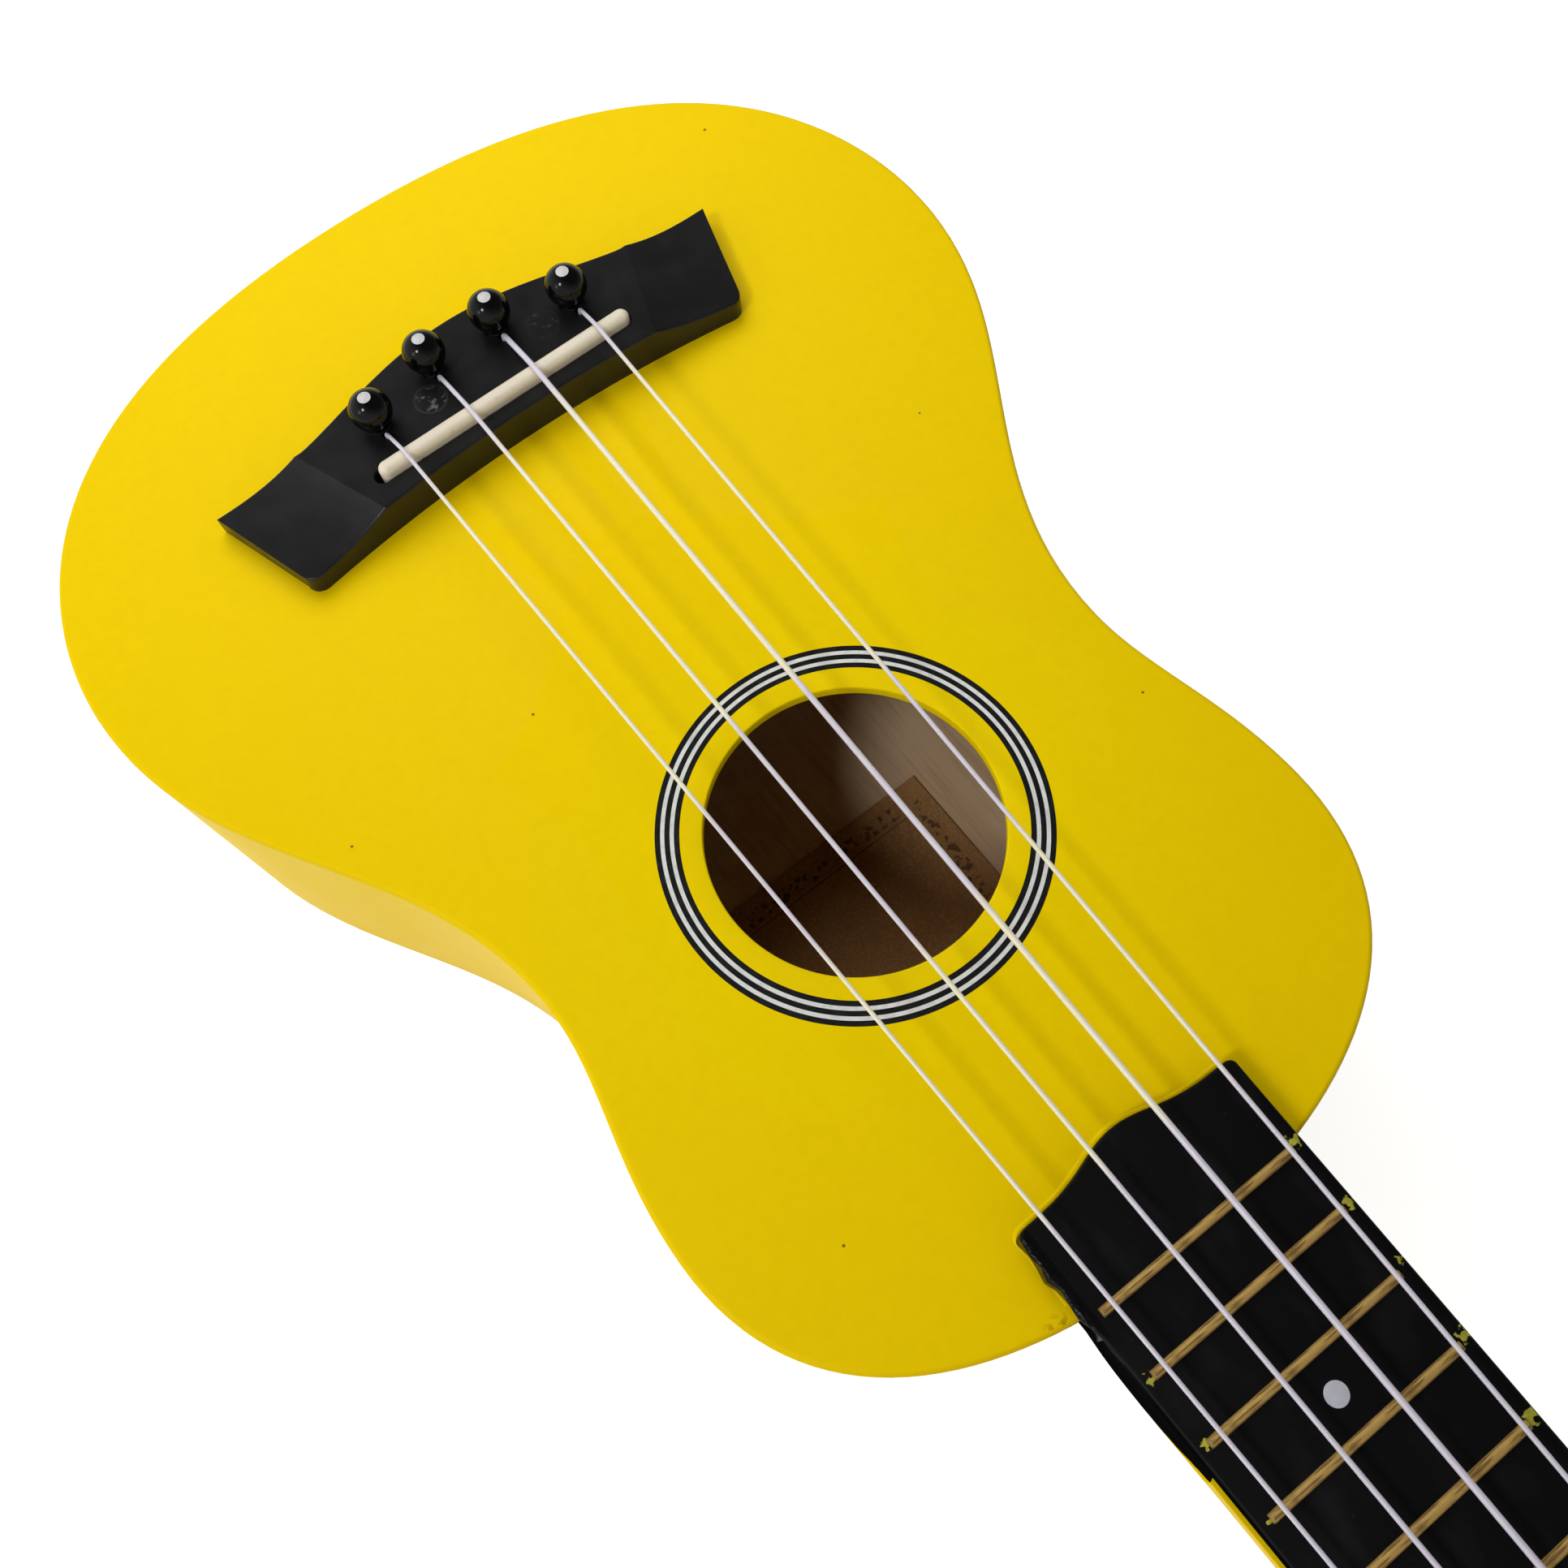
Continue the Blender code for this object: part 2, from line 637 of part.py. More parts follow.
def build_linings():
    """Glue strips in the corners between the sides and the two plates."""
    free_from = max(NECK_BLOCK_WIDTH, TAIL_BLOCK_WIDTH) / 2 + CLEARANCE
    outer = right_half(INNER_INSET)
    inner = right_half(INNER_INSET + LINING_WIDTH)
    kept = [index for index, (x, _) in enumerate(inner) if x > free_from]
    span = slice(kept[0], kept[-1] + 1)
    heights = {
        "top_lining": (CAVITY_TOP_Z - LINING_HEIGHT, CAVITY_TOP_Z),
        "back_lining": (CAVITY_FLOOR_Z, CAVITY_FLOOR_Z + LINING_HEIGHT),
    }
    for name, (low, high) in heights.items():
        for end, hand in (("treble", 1), ("bass", -1)):
            strip = ribbon(name, [(hand * x, y) for x, y in outer[span]],
                           [(hand * x, y) for x, y in inner[span]], low, high)
            place(f"{name}_{end}", strip, "bare_wood")


def build_blocks():
    """The solid blocks that the sides are glued to at the neck and the tail."""
    blocks = (
        ("neck_block", NECK_BLOCK_WIDTH, NECK_BLOCK_LENGTH, True, -1),
        ("tail_block", TAIL_BLOCK_WIDTH, TAIL_BLOCK_LENGTH, False, 1),
    )
    steps = 6
    for name, width, length, at_neck, inward in blocks:
        across = [width / 2 * (1 - 2 * step / steps) for step in range(steps + 1)]
        curved = [(x, end_y_at(x, INNER_INSET, at_neck)) for x in across]
        flat_y = end_y_at(0.0, INNER_INSET, at_neck) + inward * length
        outline = curved + [(-width / 2, flat_y), (width / 2, flat_y)]
        place(name, prism(name, outline, CAVITY_FLOOR_Z, CAVITY_TOP_Z), "bare_wood")


def brace(name, y, seat_z, away):
    """A transverse brace with tapered ends. It stands away from the plate that it stiffens."""
    half = min(half_width_at(y - BRACE_WIDTH / 2, LINING_INSET),
               half_width_at(y + BRACE_WIDTH / 2, LINING_INSET))
    section = [(-half, 0.0), (half, 0.0), (half, BRACE_END_HEIGHT),
               (half - BRACE_END_LENGTH, BRACE_HEIGHT),
               (-half + BRACE_END_LENGTH, BRACE_HEIGHT), (-half, BRACE_END_HEIGHT)]
    rings = []
    for edge in (y - BRACE_WIDTH / 2, y + BRACE_WIDTH / 2):
        rings.append([(x, edge, seat_z + away * rise) for x, rise in section])
    place(name, loft(name, rings), "bare_wood")


def build_braces():
    brace("upper_top_brace", NECK_JOINT_Y - UPPER_BRACE_TO_NECK, CAVITY_TOP_Z, -1)
    brace("lower_top_brace", SOUNDHOLE_Y - LOWER_BRACE_TO_SOUNDHOLE, CAVITY_TOP_Z, -1)
    brace("upper_back_brace", NECK_JOINT_Y - UPPER_BACK_BRACE_TO_NECK, CAVITY_FLOOR_Z, 1)
    brace("lower_back_brace", TAIL_Y + TAIL_TO_LOWER_BACK_BRACE, CAVITY_FLOOR_Z, 1)


def rectangle(width, length, centre_y):
    half = width / 2
    return [(-half, centre_y - length / 2), (half, centre_y - length / 2),
            (half, centre_y + length / 2), (-half, centre_y + length / 2)]


def build_bridge_plate(pin_holes, string_slots):
    """The hardwood plate under the soundboard that the pins pull against."""
    centre = SADDLE_Y - PIN_TO_SADDLE_INNER + BRIDGE_PLATE_LENGTH / 4
    outline = rectangle(BRIDGE_PLATE_WIDTH, BRIDGE_PLATE_LENGTH, centre)
    mesh = prism("bridge_plate", outline, BRIDGE_PLATE_UNDER_Z, BRIDGE_PLATE_TOP_Z)
    plate = place("bridge_plate", mesh, "bare_wood")
    boolean(plate, pin_holes)
    boolean(plate, string_slots)


def build_label():
    """A blank paper label on the inside of the back, in view through the soundhole."""
    brace_edge = NECK_JOINT_Y - UPPER_BACK_BRACE_TO_NECK - BRACE_WIDTH / 2
    middle = brace_edge - LABEL_TO_BACK_BRACE - LABEL_LENGTH / 2
    outline = rectangle(LABEL_WIDTH, LABEL_LENGTH, middle)
    mesh = prism("label", outline, CAVITY_FLOOR_Z, CAVITY_FLOOR_Z + LABEL_THICKNESS)
    place("label", mesh, "label_paper")


# Fingerboard and frets

def fret_y(number):
    """The place of a fret, from the nut by the rule of equal temperament."""
    return NUT_FRONT_Y - SCALE_LENGTH * (1 - 2 ** (-number / 12))


def board_half_width(y):
    """Half the fingerboard's width, which widens steadily from the nut."""
    run = NUT_FRONT_Y - fret_y(12)
    share = (NUT_FRONT_Y - y) / run
    return (BOARD_WIDTH_AT_NUT + (BOARD_WIDTH_AT_TWELFTH - BOARD_WIDTH_AT_NUT) * share) / 2


def board_outline():
    """The fingerboard from the front: straight at the nut, with a short tongue over the body."""
    end_y = fret_y(12) - BOARD_OVER_BODY
    half = board_half_width(end_y)
    corner = BOARD_CORNER_ROUND
    right = [(half, end_y + corner)]
    right.append((half - corner * 0.3, end_y + corner * 0.3))
    steps = 9
    curve = []
    for step in range(steps + 1):
        x = (half - corner) * (1 - step / steps)
        drop = BOARD_TONGUE * math.exp(-(x / BOARD_TONGUE_HALF_WIDTH) ** 2)
        curve.append((x, end_y - drop))
    right += curve
    left = [(-x, y) for x, y in reversed(right[:-1])]
    nut_y = NUT_FRONT_Y - CLEARANCE
    nut_half = board_half_width(nut_y)
    return [(nut_half, nut_y), (-nut_half, nut_y)] + (right + left)[::-1]


def build_fingerboard():
    mesh = rounded_slab("fingerboard", board_outline(), BOARD_UNDER_Z, BOARD_TOP_Z,
                        0.0, BOARD_EDGE_ROUND, 1)
    board = place("fingerboard", mesh, "black_paint")
    board.data.materials.append(bpy.data.materials["fret_brass"])
    boolean(board, cutter("join_frets", frets_mesh()), "UNION")
    board.modifiers["join_frets"].material_mode = "TRANSFER"
    pockets = []
    for number in MARKED_FRETS:
        centre = (0.0, (fret_y(number) + fret_y(number - 1)) / 2)
        pockets.append(cylinder("pocket", MARKER_DIAMETER / 2 + CLEARANCE,
                                BOARD_TOP_Z - MARKER_THICKNESS - CLEARANCE,
                                BOARD_TOP_Z + CUT_MARGIN, 16, centre))
    boolean(board, cutter("cut_marker_pockets", joined("marker_pockets", pockets)))


def fret_section():
    """(along the neck, height) points of one fret's crown and of its tang in the board."""
    half = FRET_WIDTH / 2
    right = [(half * 0.6, BOARD_TOP_Z - TANG_DEPTH), (half, BOARD_TOP_Z + FRET_HEIGHT * 0.35),
             (half * 0.55, BOARD_TOP_Z + FRET_HEIGHT * 0.86)]
    return right + [(0.0, BOARD_TOP_Z + FRET_HEIGHT)] + [(-a, h) for a, h in reversed(right)]


def frets_mesh():
    """The frets, which stop short of the board's edges and are set firmly into it."""
    bars = []
    for number in range(1, FRET_COUNT + 1):
        y = fret_y(number)
        half = board_half_width(y) - FRET_INSET
        rings = []
        for x in (-half, half):
            rings.append([(x, y + along, height) for along, height in fret_section()])
        bars.append(loft("fret", rings))
    frets = joined("frets", bars)
    frets.materials.append(bpy.data.materials["fret_brass"])
    return frets


def build_markers():
    for number in MARKED_FRETS:
        centre = (0.0, (fret_y(number) + fret_y(number - 1)) / 2)
        disc = cylinder("marker", MARKER_DIAMETER / 2, BOARD_TOP_Z - MARKER_THICKNESS,
                        BOARD_TOP_Z, 16, centre)
        place(f"position_dot_{number}", disc, "marker_white")


# Nut

def nut_string_x(name):
    across = STRING_NAMES.index(name) - (len(STRING_NAMES) - 1) / 2
    return across * NUT_STRING_SPACING


def nut_string_z(name):
    return NUT_SLOT_FLOOR_Z + CLEARANCE + STRING_DIAMETERS[name] / 2


def build_nut():
    """A bone-coloured bar across the end of the fingerboard, slotted for the strings."""
    half = board_half_width(NUT_FRONT_Y)
    low = BODY_DEPTH + CLEARANCE
    deepest = max(STRING_DIAMETERS.values())
    top = NUT_SLOT_FLOOR_Z + CLEARANCE + deepest + NUT_SHOULDER
    back = HEAD_Y
    section = [(NUT_FRONT_Y, low), (back, low), (back, top - 0.0009),
               (back - 0.0016, top - 0.0002), (NUT_FRONT_Y + 0.0012, top),
               (NUT_FRONT_Y, top - 0.0003)]
    rings = [[(x, y, z) for y, z in section] for x in (-half, half)]
    nut = place("nut", loft("nut", rings, math.radians(25)), "ivory_plastic")
    slots = []
    for name in STRING_NAMES:
        radius = STRING_DIAMETERS[name] / 2 + CLEARANCE
        centre_x = nut_string_x(name)
        centre_z = nut_string_z(name)
        arc = [(centre_x + radius * math.cos(a), centre_z + radius * math.sin(a))
               for a in (math.pi + math.pi * step / 6 for step in range(7))]
        outline = arc + [(centre_x + radius, top + CUT_MARGIN), (centre_x - radius, top + CUT_MARGIN)]
        rings = []
        for y in (NUT_FRONT_Y - CUT_MARGIN, back + CUT_MARGIN):
            rings.append([(x, y, z) for x, z in outline])
        slots.append(loft("nut_slot", rings))
    boolean(nut, cutter("cut_nut_slots", joined("nut_slots", slots)))


# Neck

def neck_section(y, half, top, depth, fullness, steps=9):
    """A D-shaped section: flat on top and a superellipse below."""
    ring = []
    for step in range(steps + 1):
        angle = math.pi * step / steps
        x = half * math.copysign(abs(math.cos(angle)) ** (2 / fullness), math.cos(angle))
        z = top - depth * math.sin(angle) ** (2 / fullness)
        ring.append((x, y, z))
    return ring


def neck_rings():
    """Sections from inside the body, along the heel and the neck, into the head."""
    rings = []
    heel_steps = 9
    for step in range(-1, heel_steps + 1):
        share = max(step, 0) / heel_steps
        y = NECK_JOINT_Y - BOARD_OVER_BODY * (step < 0) + HEEL_LENGTH * share
        rings.append(heel_section(y, (1 - share) ** HEEL_SWEEP))
    heel_end = NECK_JOINT_Y + HEEL_LENGTH
    neck_steps = 4
    neck_end = HEAD_Y - VOLUTE_BEFORE
    for step in range(1, neck_steps + 1):
        y = heel_end + (neck_end - heel_end) * step / neck_steps
        rings.append(heel_section(y, 0.0))
    volute_steps = 6
    for step in range(1, volute_steps + 1):
        rings.append(volute_section(neck_end, step / volute_steps))
    return rings


def volute_section(start, share):
    """A section of the swell behind the nut, which turns from the neck's D into the head's slab."""
    y = start + (VOLUTE_BEFORE + VOLUTE_AFTER) * share
    past = max(0.0, y - HEAD_Y)
    ease = share * share * (3 - 2 * share)
    half = head_half_width(past) - HEAD_STEP / 2
    top = BODY_DEPTH
    if past > 0:
        top -= HEAD_STEP * 1.5 + past * math.tan(HEAD_TILT)
    head_depth = HEAD_THICKNESS / math.cos(HEAD_TILT) - HEAD_STEP
    depth = NECK_DEPTH_AT_NUT + (head_depth - NECK_DEPTH_AT_NUT) * ease
    fullness = NECK_FULLNESS + (HEAD_FULLNESS - NECK_FULLNESS) * ease
    if past == 0:
        half = board_half_width(y) + NECK_MARGIN
    return neck_section(y, half, top, depth, fullness)


def heel_section(y, heel_share):
    """A neck section, or nearer the body one that deepens into the heel."""
    along = (HEAD_Y - y) / (HEAD_Y - NECK_JOINT_Y)
    depth = NECK_DEPTH_AT_NUT + (NECK_DEPTH_AT_HEEL - NECK_DEPTH_AT_NUT) * min(along, 1.0)
    depth += (HEEL_DEPTH - depth) * heel_share
    fullness = NECK_FULLNESS + (HEEL_FULLNESS - NECK_FULLNESS) * heel_share
    half = board_half_width(y) + NECK_MARGIN
    return neck_section(y, half, BODY_DEPTH, depth, fullness)


def head_side():
    """The right side of the head from the front: flared from the neck, with a three-part crest."""
    start = board_half_width(HEAD_Y) + NECK_MARGIN - HEAD_STEP
    low = HEAD_WIDTH_LOW / 2
    high = HEAD_WIDTH_HIGH / 2
    flare = HEAD_FLARE_LENGTH
    shoulder = HEAD_LENGTH - HEAD_CREST * 2.2
    dip = (high * 0.66, HEAD_LENGTH - HEAD_CREST)
    right = bezier((start, 0.0), (start, flare * 0.5), (low, flare * 0.4), (low, flare), 7)
    right += bezier((low, flare), (low, flare * 2), (high, shoulder - flare), (high, shoulder), 2)
    right += bezier((high, shoulder), (high, dip[1] + HEAD_CREST * 0.6),
                    (dip[0] + HEAD_CREST, dip[1] + HEAD_CREST * 0.1), dip, 5)
    right += bezier(dip, (dip[0] - HEAD_CREST, dip[1] - HEAD_CREST * 0.1),
                    (high * 0.3, HEAD_LENGTH), (0.0, HEAD_LENGTH), 6)
    return right


def head_half_width(v):
    """The head's half width at a distance from the nut, along its flare."""
    side = head_side()
    for (near_x, near_v), (far_x, far_v) in zip(side, side[1:]):
        if near_v <= v <= far_v:
            return near_x + (far_x - near_x) * (v - near_v) / (far_v - near_v)
    return side[0][0]


def head_outline():
    """The slab of the head, which starts where the swell behind the nut has become as wide."""
    right = [(head_half_width(HEAD_SLAB_START), HEAD_SLAB_START)]
    right += [(x, v) for x, v in head_side() if v > HEAD_SLAB_START + HEAD_EDGE_ROUND * 1.5]
    left = [(-x, v) for x, v in reversed(right)]
    return right + [(0.0, HEAD_LENGTH)] + left


def head_matrix(x=0.0, v=0.0, w=0.0):
    """A place in the head's own frame, which leans back from the nut."""
    base = Matrix.Translation((0.0, HEAD_Y, BODY_DEPTH - HEAD_STEP))
    return base @ Matrix.Rotation(-HEAD_TILT, 4, "X") @ Matrix.Translation((x, v, w))


def tuner_places():
    """name: (side, x, v) of each string post. The outer strings go to the near posts."""
    places = {}
    for index, name in enumerate(STRING_NAMES):
        side = -1 if index < len(STRING_NAMES) / 2 else 1
        outer = index in (0, len(STRING_NAMES) - 1)
        places[name] = (side, side * POST_SIDE, NEAR_POST if outer else FAR_POST)
    return places


def build_neck():
    neck = place("neck", loft("neck", neck_rings()), "yellow_paint")
    body = prism("body_space", body_outline(-CLEARANCE), -CUT_MARGIN, BODY_DEPTH + CUT_MARGIN)
    boolean(neck, cutter("cut_body_space", body))
    head = rounded_slab("head", head_outline(), -HEAD_THICKNESS, 0.0,
                        HEAD_EDGE_ROUND, HEAD_EDGE_ROUND, 1)
    boolean(neck, cutter("join_head", head, head_matrix()), "UNION")
    bores = []
    screw_bores = []
    for _, x, v in tuner_places().values():
        bores.append(cylinder("bore", FERRULE_SLEEVE_DIAMETER / 2 + CLEARANCE,
                              -HEAD_THICKNESS - CUT_MARGIN, CUT_MARGIN, POST_SIDES, (x, v)))
        for end in (-1, 1):
            place_at = (x, v + end * TUNER_SCREW_SPACING / 2)
            depth = TUNER_SCREW_LENGTH - TUNER_PLATE_THICKNESS
            screw_bores.append(cylinder("screw_bore", TUNER_SCREW_SHANK / 2 + CLEARANCE,
                                        -HEAD_THICKNESS - CUT_MARGIN,
                                        -HEAD_THICKNESS + depth + CLEARANCE, 8, place_at))
    boolean(neck, cutter("cut_post_bores", joined("post_bores", bores), head_matrix()))
    boolean(neck, cutter("cut_screw_bores", joined("screw_bores", screw_bores), head_matrix()))


# Bridge, saddle and pins

def bridge_front_y(x):
    """The bridge's front edge: a shallow bow with rounded corners."""
    half = BRIDGE_FRONT_WIDTH / 2
    y = BRIDGE_FRONT + BRIDGE_FRONT_CURVE * (x / half) ** 2
    past = max(0.0, abs(x) - (half - BRIDGE_CORNER_ROUND)) / BRIDGE_CORNER_ROUND
    return y - BRIDGE_CORNER_ROUND * (1 - math.sqrt(max(0.0, 1 - past * past)))


def bridge_back_y(x):
    """The tail edge: straight under the wings, with a belly between them."""
    share = min(abs(x) / (BRIDGE_BELLY_WIDTH / 2), 1.0)
    return -BRIDGE_BACK - BRIDGE_BELLY * (0.5 + 0.5 * math.cos(math.pi * share)) ** 0.6


def bridge_stations():
    """Places across the bridge: 0 to 1 over the level middle, 1 to 2 out along a wing."""
    centre = [step / BRIDGE_STATIONS_CENTRE for step in range(BRIDGE_STATIONS_CENTRE + 1)]
    wing = [1 + math.sin(math.pi / 2 * step / BRIDGE_STATIONS_WING)
            for step in range(1, BRIDGE_STATIONS_WING + 1)]
    right = centre + wing
    return [-station for station in reversed(right[1:])] + right


def bridge_x(station, break_width, full_width):
    """How far across an edge a station lies, given where the wing begins and ends on it."""
    middle = min(abs(station), 1.0) * break_width / 2
    wing = max(abs(station) - 1.0, 0.0) * (full_width - break_width) / 2
    return math.copysign(middle + wing, station)


def bridge_height(station):
    """The top is level in the middle and scooped down to each wing."""
    past = max(abs(station) - 1.0, 0.0)
    return BRIDGE_WING_HEIGHT + (BRIDGE_HEIGHT - BRIDGE_WING_HEIGHT) * (1 - past) ** BRIDGE_SCOOP


def build_bridge(pin_holes, string_slots):
    rings = []
    edge = BRIDGE_EDGE_ROUND
    for station in bridge_stations():
        front = Vector((bridge_x(station, BRIDGE_FRONT_BREAK, BRIDGE_FRONT_WIDTH), 0.0))
        front.y = bridge_front_y(front.x)
        back = Vector((bridge_x(station, BRIDGE_TAIL_BREAK, BRIDGE_TAIL_WIDTH), 0.0))
        back.y = bridge_back_y(back.x)
        along = (front - back).normalized() * edge
        top = BRIDGE_UNDER_Z + bridge_height(station)
        profile = [(back, BRIDGE_UNDER_Z), (back, top - edge), (back + along, top),
                   (front - along, top), (front, top - edge), (front, BRIDGE_UNDER_Z)]
        rings.append([(point.x, SADDLE_Y + point.y, z) for point, z in profile])
    bridge = place("bridge", loft("bridge", rings, math.radians(24)), "black_plastic")
    length = SADDLE_LENGTH + 2 * CLEARANCE + SADDLE_SLOT_SPARE
    outline = stadium(length, SADDLE_THICKNESS + 2 * CLEARANCE, 6)
    slot = prism("saddle_slot", [(x, SADDLE_Y + y) for x, y in outline],
                 BRIDGE_TOP_Z - SADDLE_SLOT_DEPTH, BRIDGE_TOP_Z + CUT_MARGIN)
    boolean(bridge, cutter("cut_saddle_slot", slot))
    boolean(bridge, pin_holes)
    boolean(bridge, string_slots)


def build_saddle():
    shift = -SADDLE_SLOT_SPARE / 2
    outline = [(x + shift, SADDLE_Y + y)
               for x, y in stadium(SADDLE_LENGTH, SADDLE_THICKNESS, 6)]
    low = BRIDGE_TOP_Z - SADDLE_SLOT_DEPTH + CLEARANCE
    round_over = SADDLE_THICKNESS * 0.42
    mesh = rounded_slab("saddle", outline, low, SADDLE_TOP_Z, 0.0, round_over, 3)
    place("saddle", mesh, "ivory_plastic")


def pin_profile():
    """(radius, height) points of a bridge pin, up from its tip; height 0 is its collar's seat."""
    head = PIN_HEAD_DIAMETER / 2
    collar = PIN_COLLAR_DIAMETER / 2
    centre = PIN_COLLAR_HEIGHT + math.sqrt(head ** 2 - collar ** 2)
    profile = [(0.0, -PIN_LENGTH), (PIN_TIP_DIAMETER * 0.35, -PIN_LENGTH),
               (PIN_TIP_DIAMETER / 2, -PIN_LENGTH + 0.0012), (PIN_TOP_DIAMETER / 2, 0.0),
               (collar, 0.0), (collar * 0.94, PIN_COLLAR_HEIGHT * 0.5), (collar, PIN_COLLAR_HEIGHT)]
    lowest = -math.asin((centre - PIN_COLLAR_HEIGHT) / head)
    steps = 6
    for step in range(1, steps):
        angle = lowest + (math.pi / 2 - lowest) * step / steps
        profile.append((head * math.cos(angle), centre + head * math.sin(angle)))
    profile.append((0.0, centre + head))
    return profile


def build_pins():
    mesh = turned("bridge_pin", pin_profile(), PIN_SIDES)
    for name, (x, y) in pin_places().items():
        place(f"bridge_pin_{name}", mesh, "gloss_black",
              Matrix.Translation((x, y, BRIDGE_TOP_Z + CLEARANCE)))


# Tuners

def worm_ridge():
    """The thread: a trapezoid swept along a right-handed helix about X, sunk into the core."""
    sunk = WORM_CORE_RADIUS * 0.8
    slope = (WORM_ROOT_HALF - WORM_CREST_HALF) / (WORM_OUTER_RADIUS - WORM_CORE_RADIUS)
    sunk_half = WORM_ROOT_HALF + slope * (WORM_CORE_RADIUS - sunk)
    section = [(-sunk_half, sunk), (-WORM_CREST_HALF, WORM_OUTER_RADIUS),
               (WORM_CREST_HALF, WORM_OUTER_RADIUS), (sunk_half, sunk)]
    reach = WORM_HALF_LENGTH - sunk_half
    turns = 2 * reach / WORM_LEAD
    steps = round(turns * WORM_STEPS_PER_TURN)
    rings = []
    for step in range(steps + 1):
        angle = 2 * math.pi * turns * (step / steps - 0.5)
        x = WORM_LEAD * angle / (2 * math.pi)
        rings.append([(x + along, radius * math.cos(angle), radius * math.sin(angle))
                      for along, radius in section])
    return loft("worm_ridge", rings)


def worm_mesh():
    """The worm shaft: a thread between two bearings, a riveted collar and a long stem."""
    core = WORM_CORE_RADIUS
    collar = WORM_COLLAR_RADIUS
    profile = [(0.0, -COLLAR_OUTER_X), (collar * 0.8, -COLLAR_OUTER_X),
               (collar, -COLLAR_OUTER_X + WORM_COLLAR_LENGTH / 3), (collar, -COLLAR_INNER_X),
               (core, -COLLAR_INNER_X), (core, COLLAR_INNER_X), (collar, COLLAR_INNER_X),
               (collar, COLLAR_OUTER_X), (core, COLLAR_OUTER_X), (core, WORM_END_X),
               (0.0, WORM_END_X)]
    shaft = turned("worm_shaft", profile, 12)
    shaft.transform(Matrix.Rotation(math.pi / 2, 4, "Y"))
    return worked_mesh("tuner_worm", shaft, [("UNION", worm_ridge())])


def gear_mesh():
    """A wheel whose teeth lean with the worm's thread, on a square hole."""
    per_tooth = 2 * math.pi / GEAR_TEETH
    root = TOOTH_ROOT_HALF / GEAR_ROOT_RADIUS
    tip = TOOTH_TIP_HALF / GEAR_TIP_RADIUS
    lean = WORM_LEAD / (2 * math.pi * WORM_PITCH_RADIUS)
    rings = []
    for height in (-GEAR_THICKNESS / 2, GEAR_THICKNESS / 2):
        ring = []
        twist = height * lean / GEAR_PITCH_RADIUS
        for tooth in range(GEAR_TEETH):
            middle = -math.pi / 2 + per_tooth * (tooth + 0.5) + twist
            for angle, radius in ((-root, GEAR_ROOT_RADIUS), (-tip, GEAR_TIP_RADIUS),
                                  (tip, GEAR_TIP_RADIUS), (root, GEAR_ROOT_RADIUS)):
                turn = middle + angle
                ring.append((radius * math.cos(turn), radius * math.sin(turn), height))
        rings.append(ring)
    blank = loft("gear_blank", rings, math.radians(20))
    side = SPIGOT_SIDE + 2 * CLEARANCE
    bore = prism("square_hole", rectangle(side, side, 0.0), -GEAR_THICKNESS, GEAR_THICKNESS)
    return worked_mesh("tuner_gear", blank, [("DIFFERENCE", bore)])


def post_mesh():
    """A string post: a waisted top with a string hole, and a square end for the gear."""
    radius = POST_DIAMETER / 2
    waist = POST_WAIST_DIAMETER / 2
    shoulder = GEAR_TOP_W + CLEARANCE
    waist_low = FERRULE_FLANGE_THICKNESS + 2 * CLEARANCE
    profile = [(0.0, shoulder), (radius, shoulder), (radius, waist_low),
               (waist, waist_low + 0.0008), (waist, POST_HOLE_HEIGHT + 0.0006),
               (radius, POST_HOLE_HEIGHT + 0.0018), (radius, POST_HEIGHT - 0.0006),
               (radius * 0.8, POST_HEIGHT), (0.0, POST_HEIGHT)]
    blank = turned("post_blank", profile, POST_SIDES)
    square = prism("square_end", rectangle(SPIGOT_SIDE, SPIGOT_SIDE, 0.0), POST_UNDER_W,
                   shoulder + 0.0010)
    string_hole = cylinder("string_hole", POST_HOLE_DIAMETER / 2, -POST_DIAMETER,
                           POST_DIAMETER, 12)
    string_hole.transform(Matrix.Rotation(math.pi / 2, 4, "Y"))
    string_hole.transform(Matrix.Translation((0.0, 0.0, POST_HOLE_HEIGHT)))
    return worked_mesh("tuner_post", blank, [("UNION", square), ("UNION", gear_screw_head()),
                                             ("DIFFERENCE", gear_screw_slot()),
                                             ("DIFFERENCE", string_hole)])


def gear_screw_head():
    """The head that holds the gear on the square end, drawn as one with the post."""
    seat = GEAR_UNDER_W - CLEARANCE
    low = seat - GEAR_SCREW_HEAD_HEIGHT
    head = GEAR_SCREW_HEAD / 2
    return turned("gear_screw_head", [(0.0, low), (head * 0.8, low), (head, low + 0.0005),
                                      (head, seat), (0.0, seat)], POST_SIDES)


def gear_screw_slot():
    low = GEAR_UNDER_W - CLEARANCE - GEAR_SCREW_HEAD_HEIGHT
    slot = rectangle(GEAR_SCREW_HEAD * 1.2, GEAR_SCREW_HEAD * 0.16, 0.0)
    return prism("screw_slot", slot, low - CUT_MARGIN, low + GEAR_SCREW_HEAD_HEIGHT / 2)


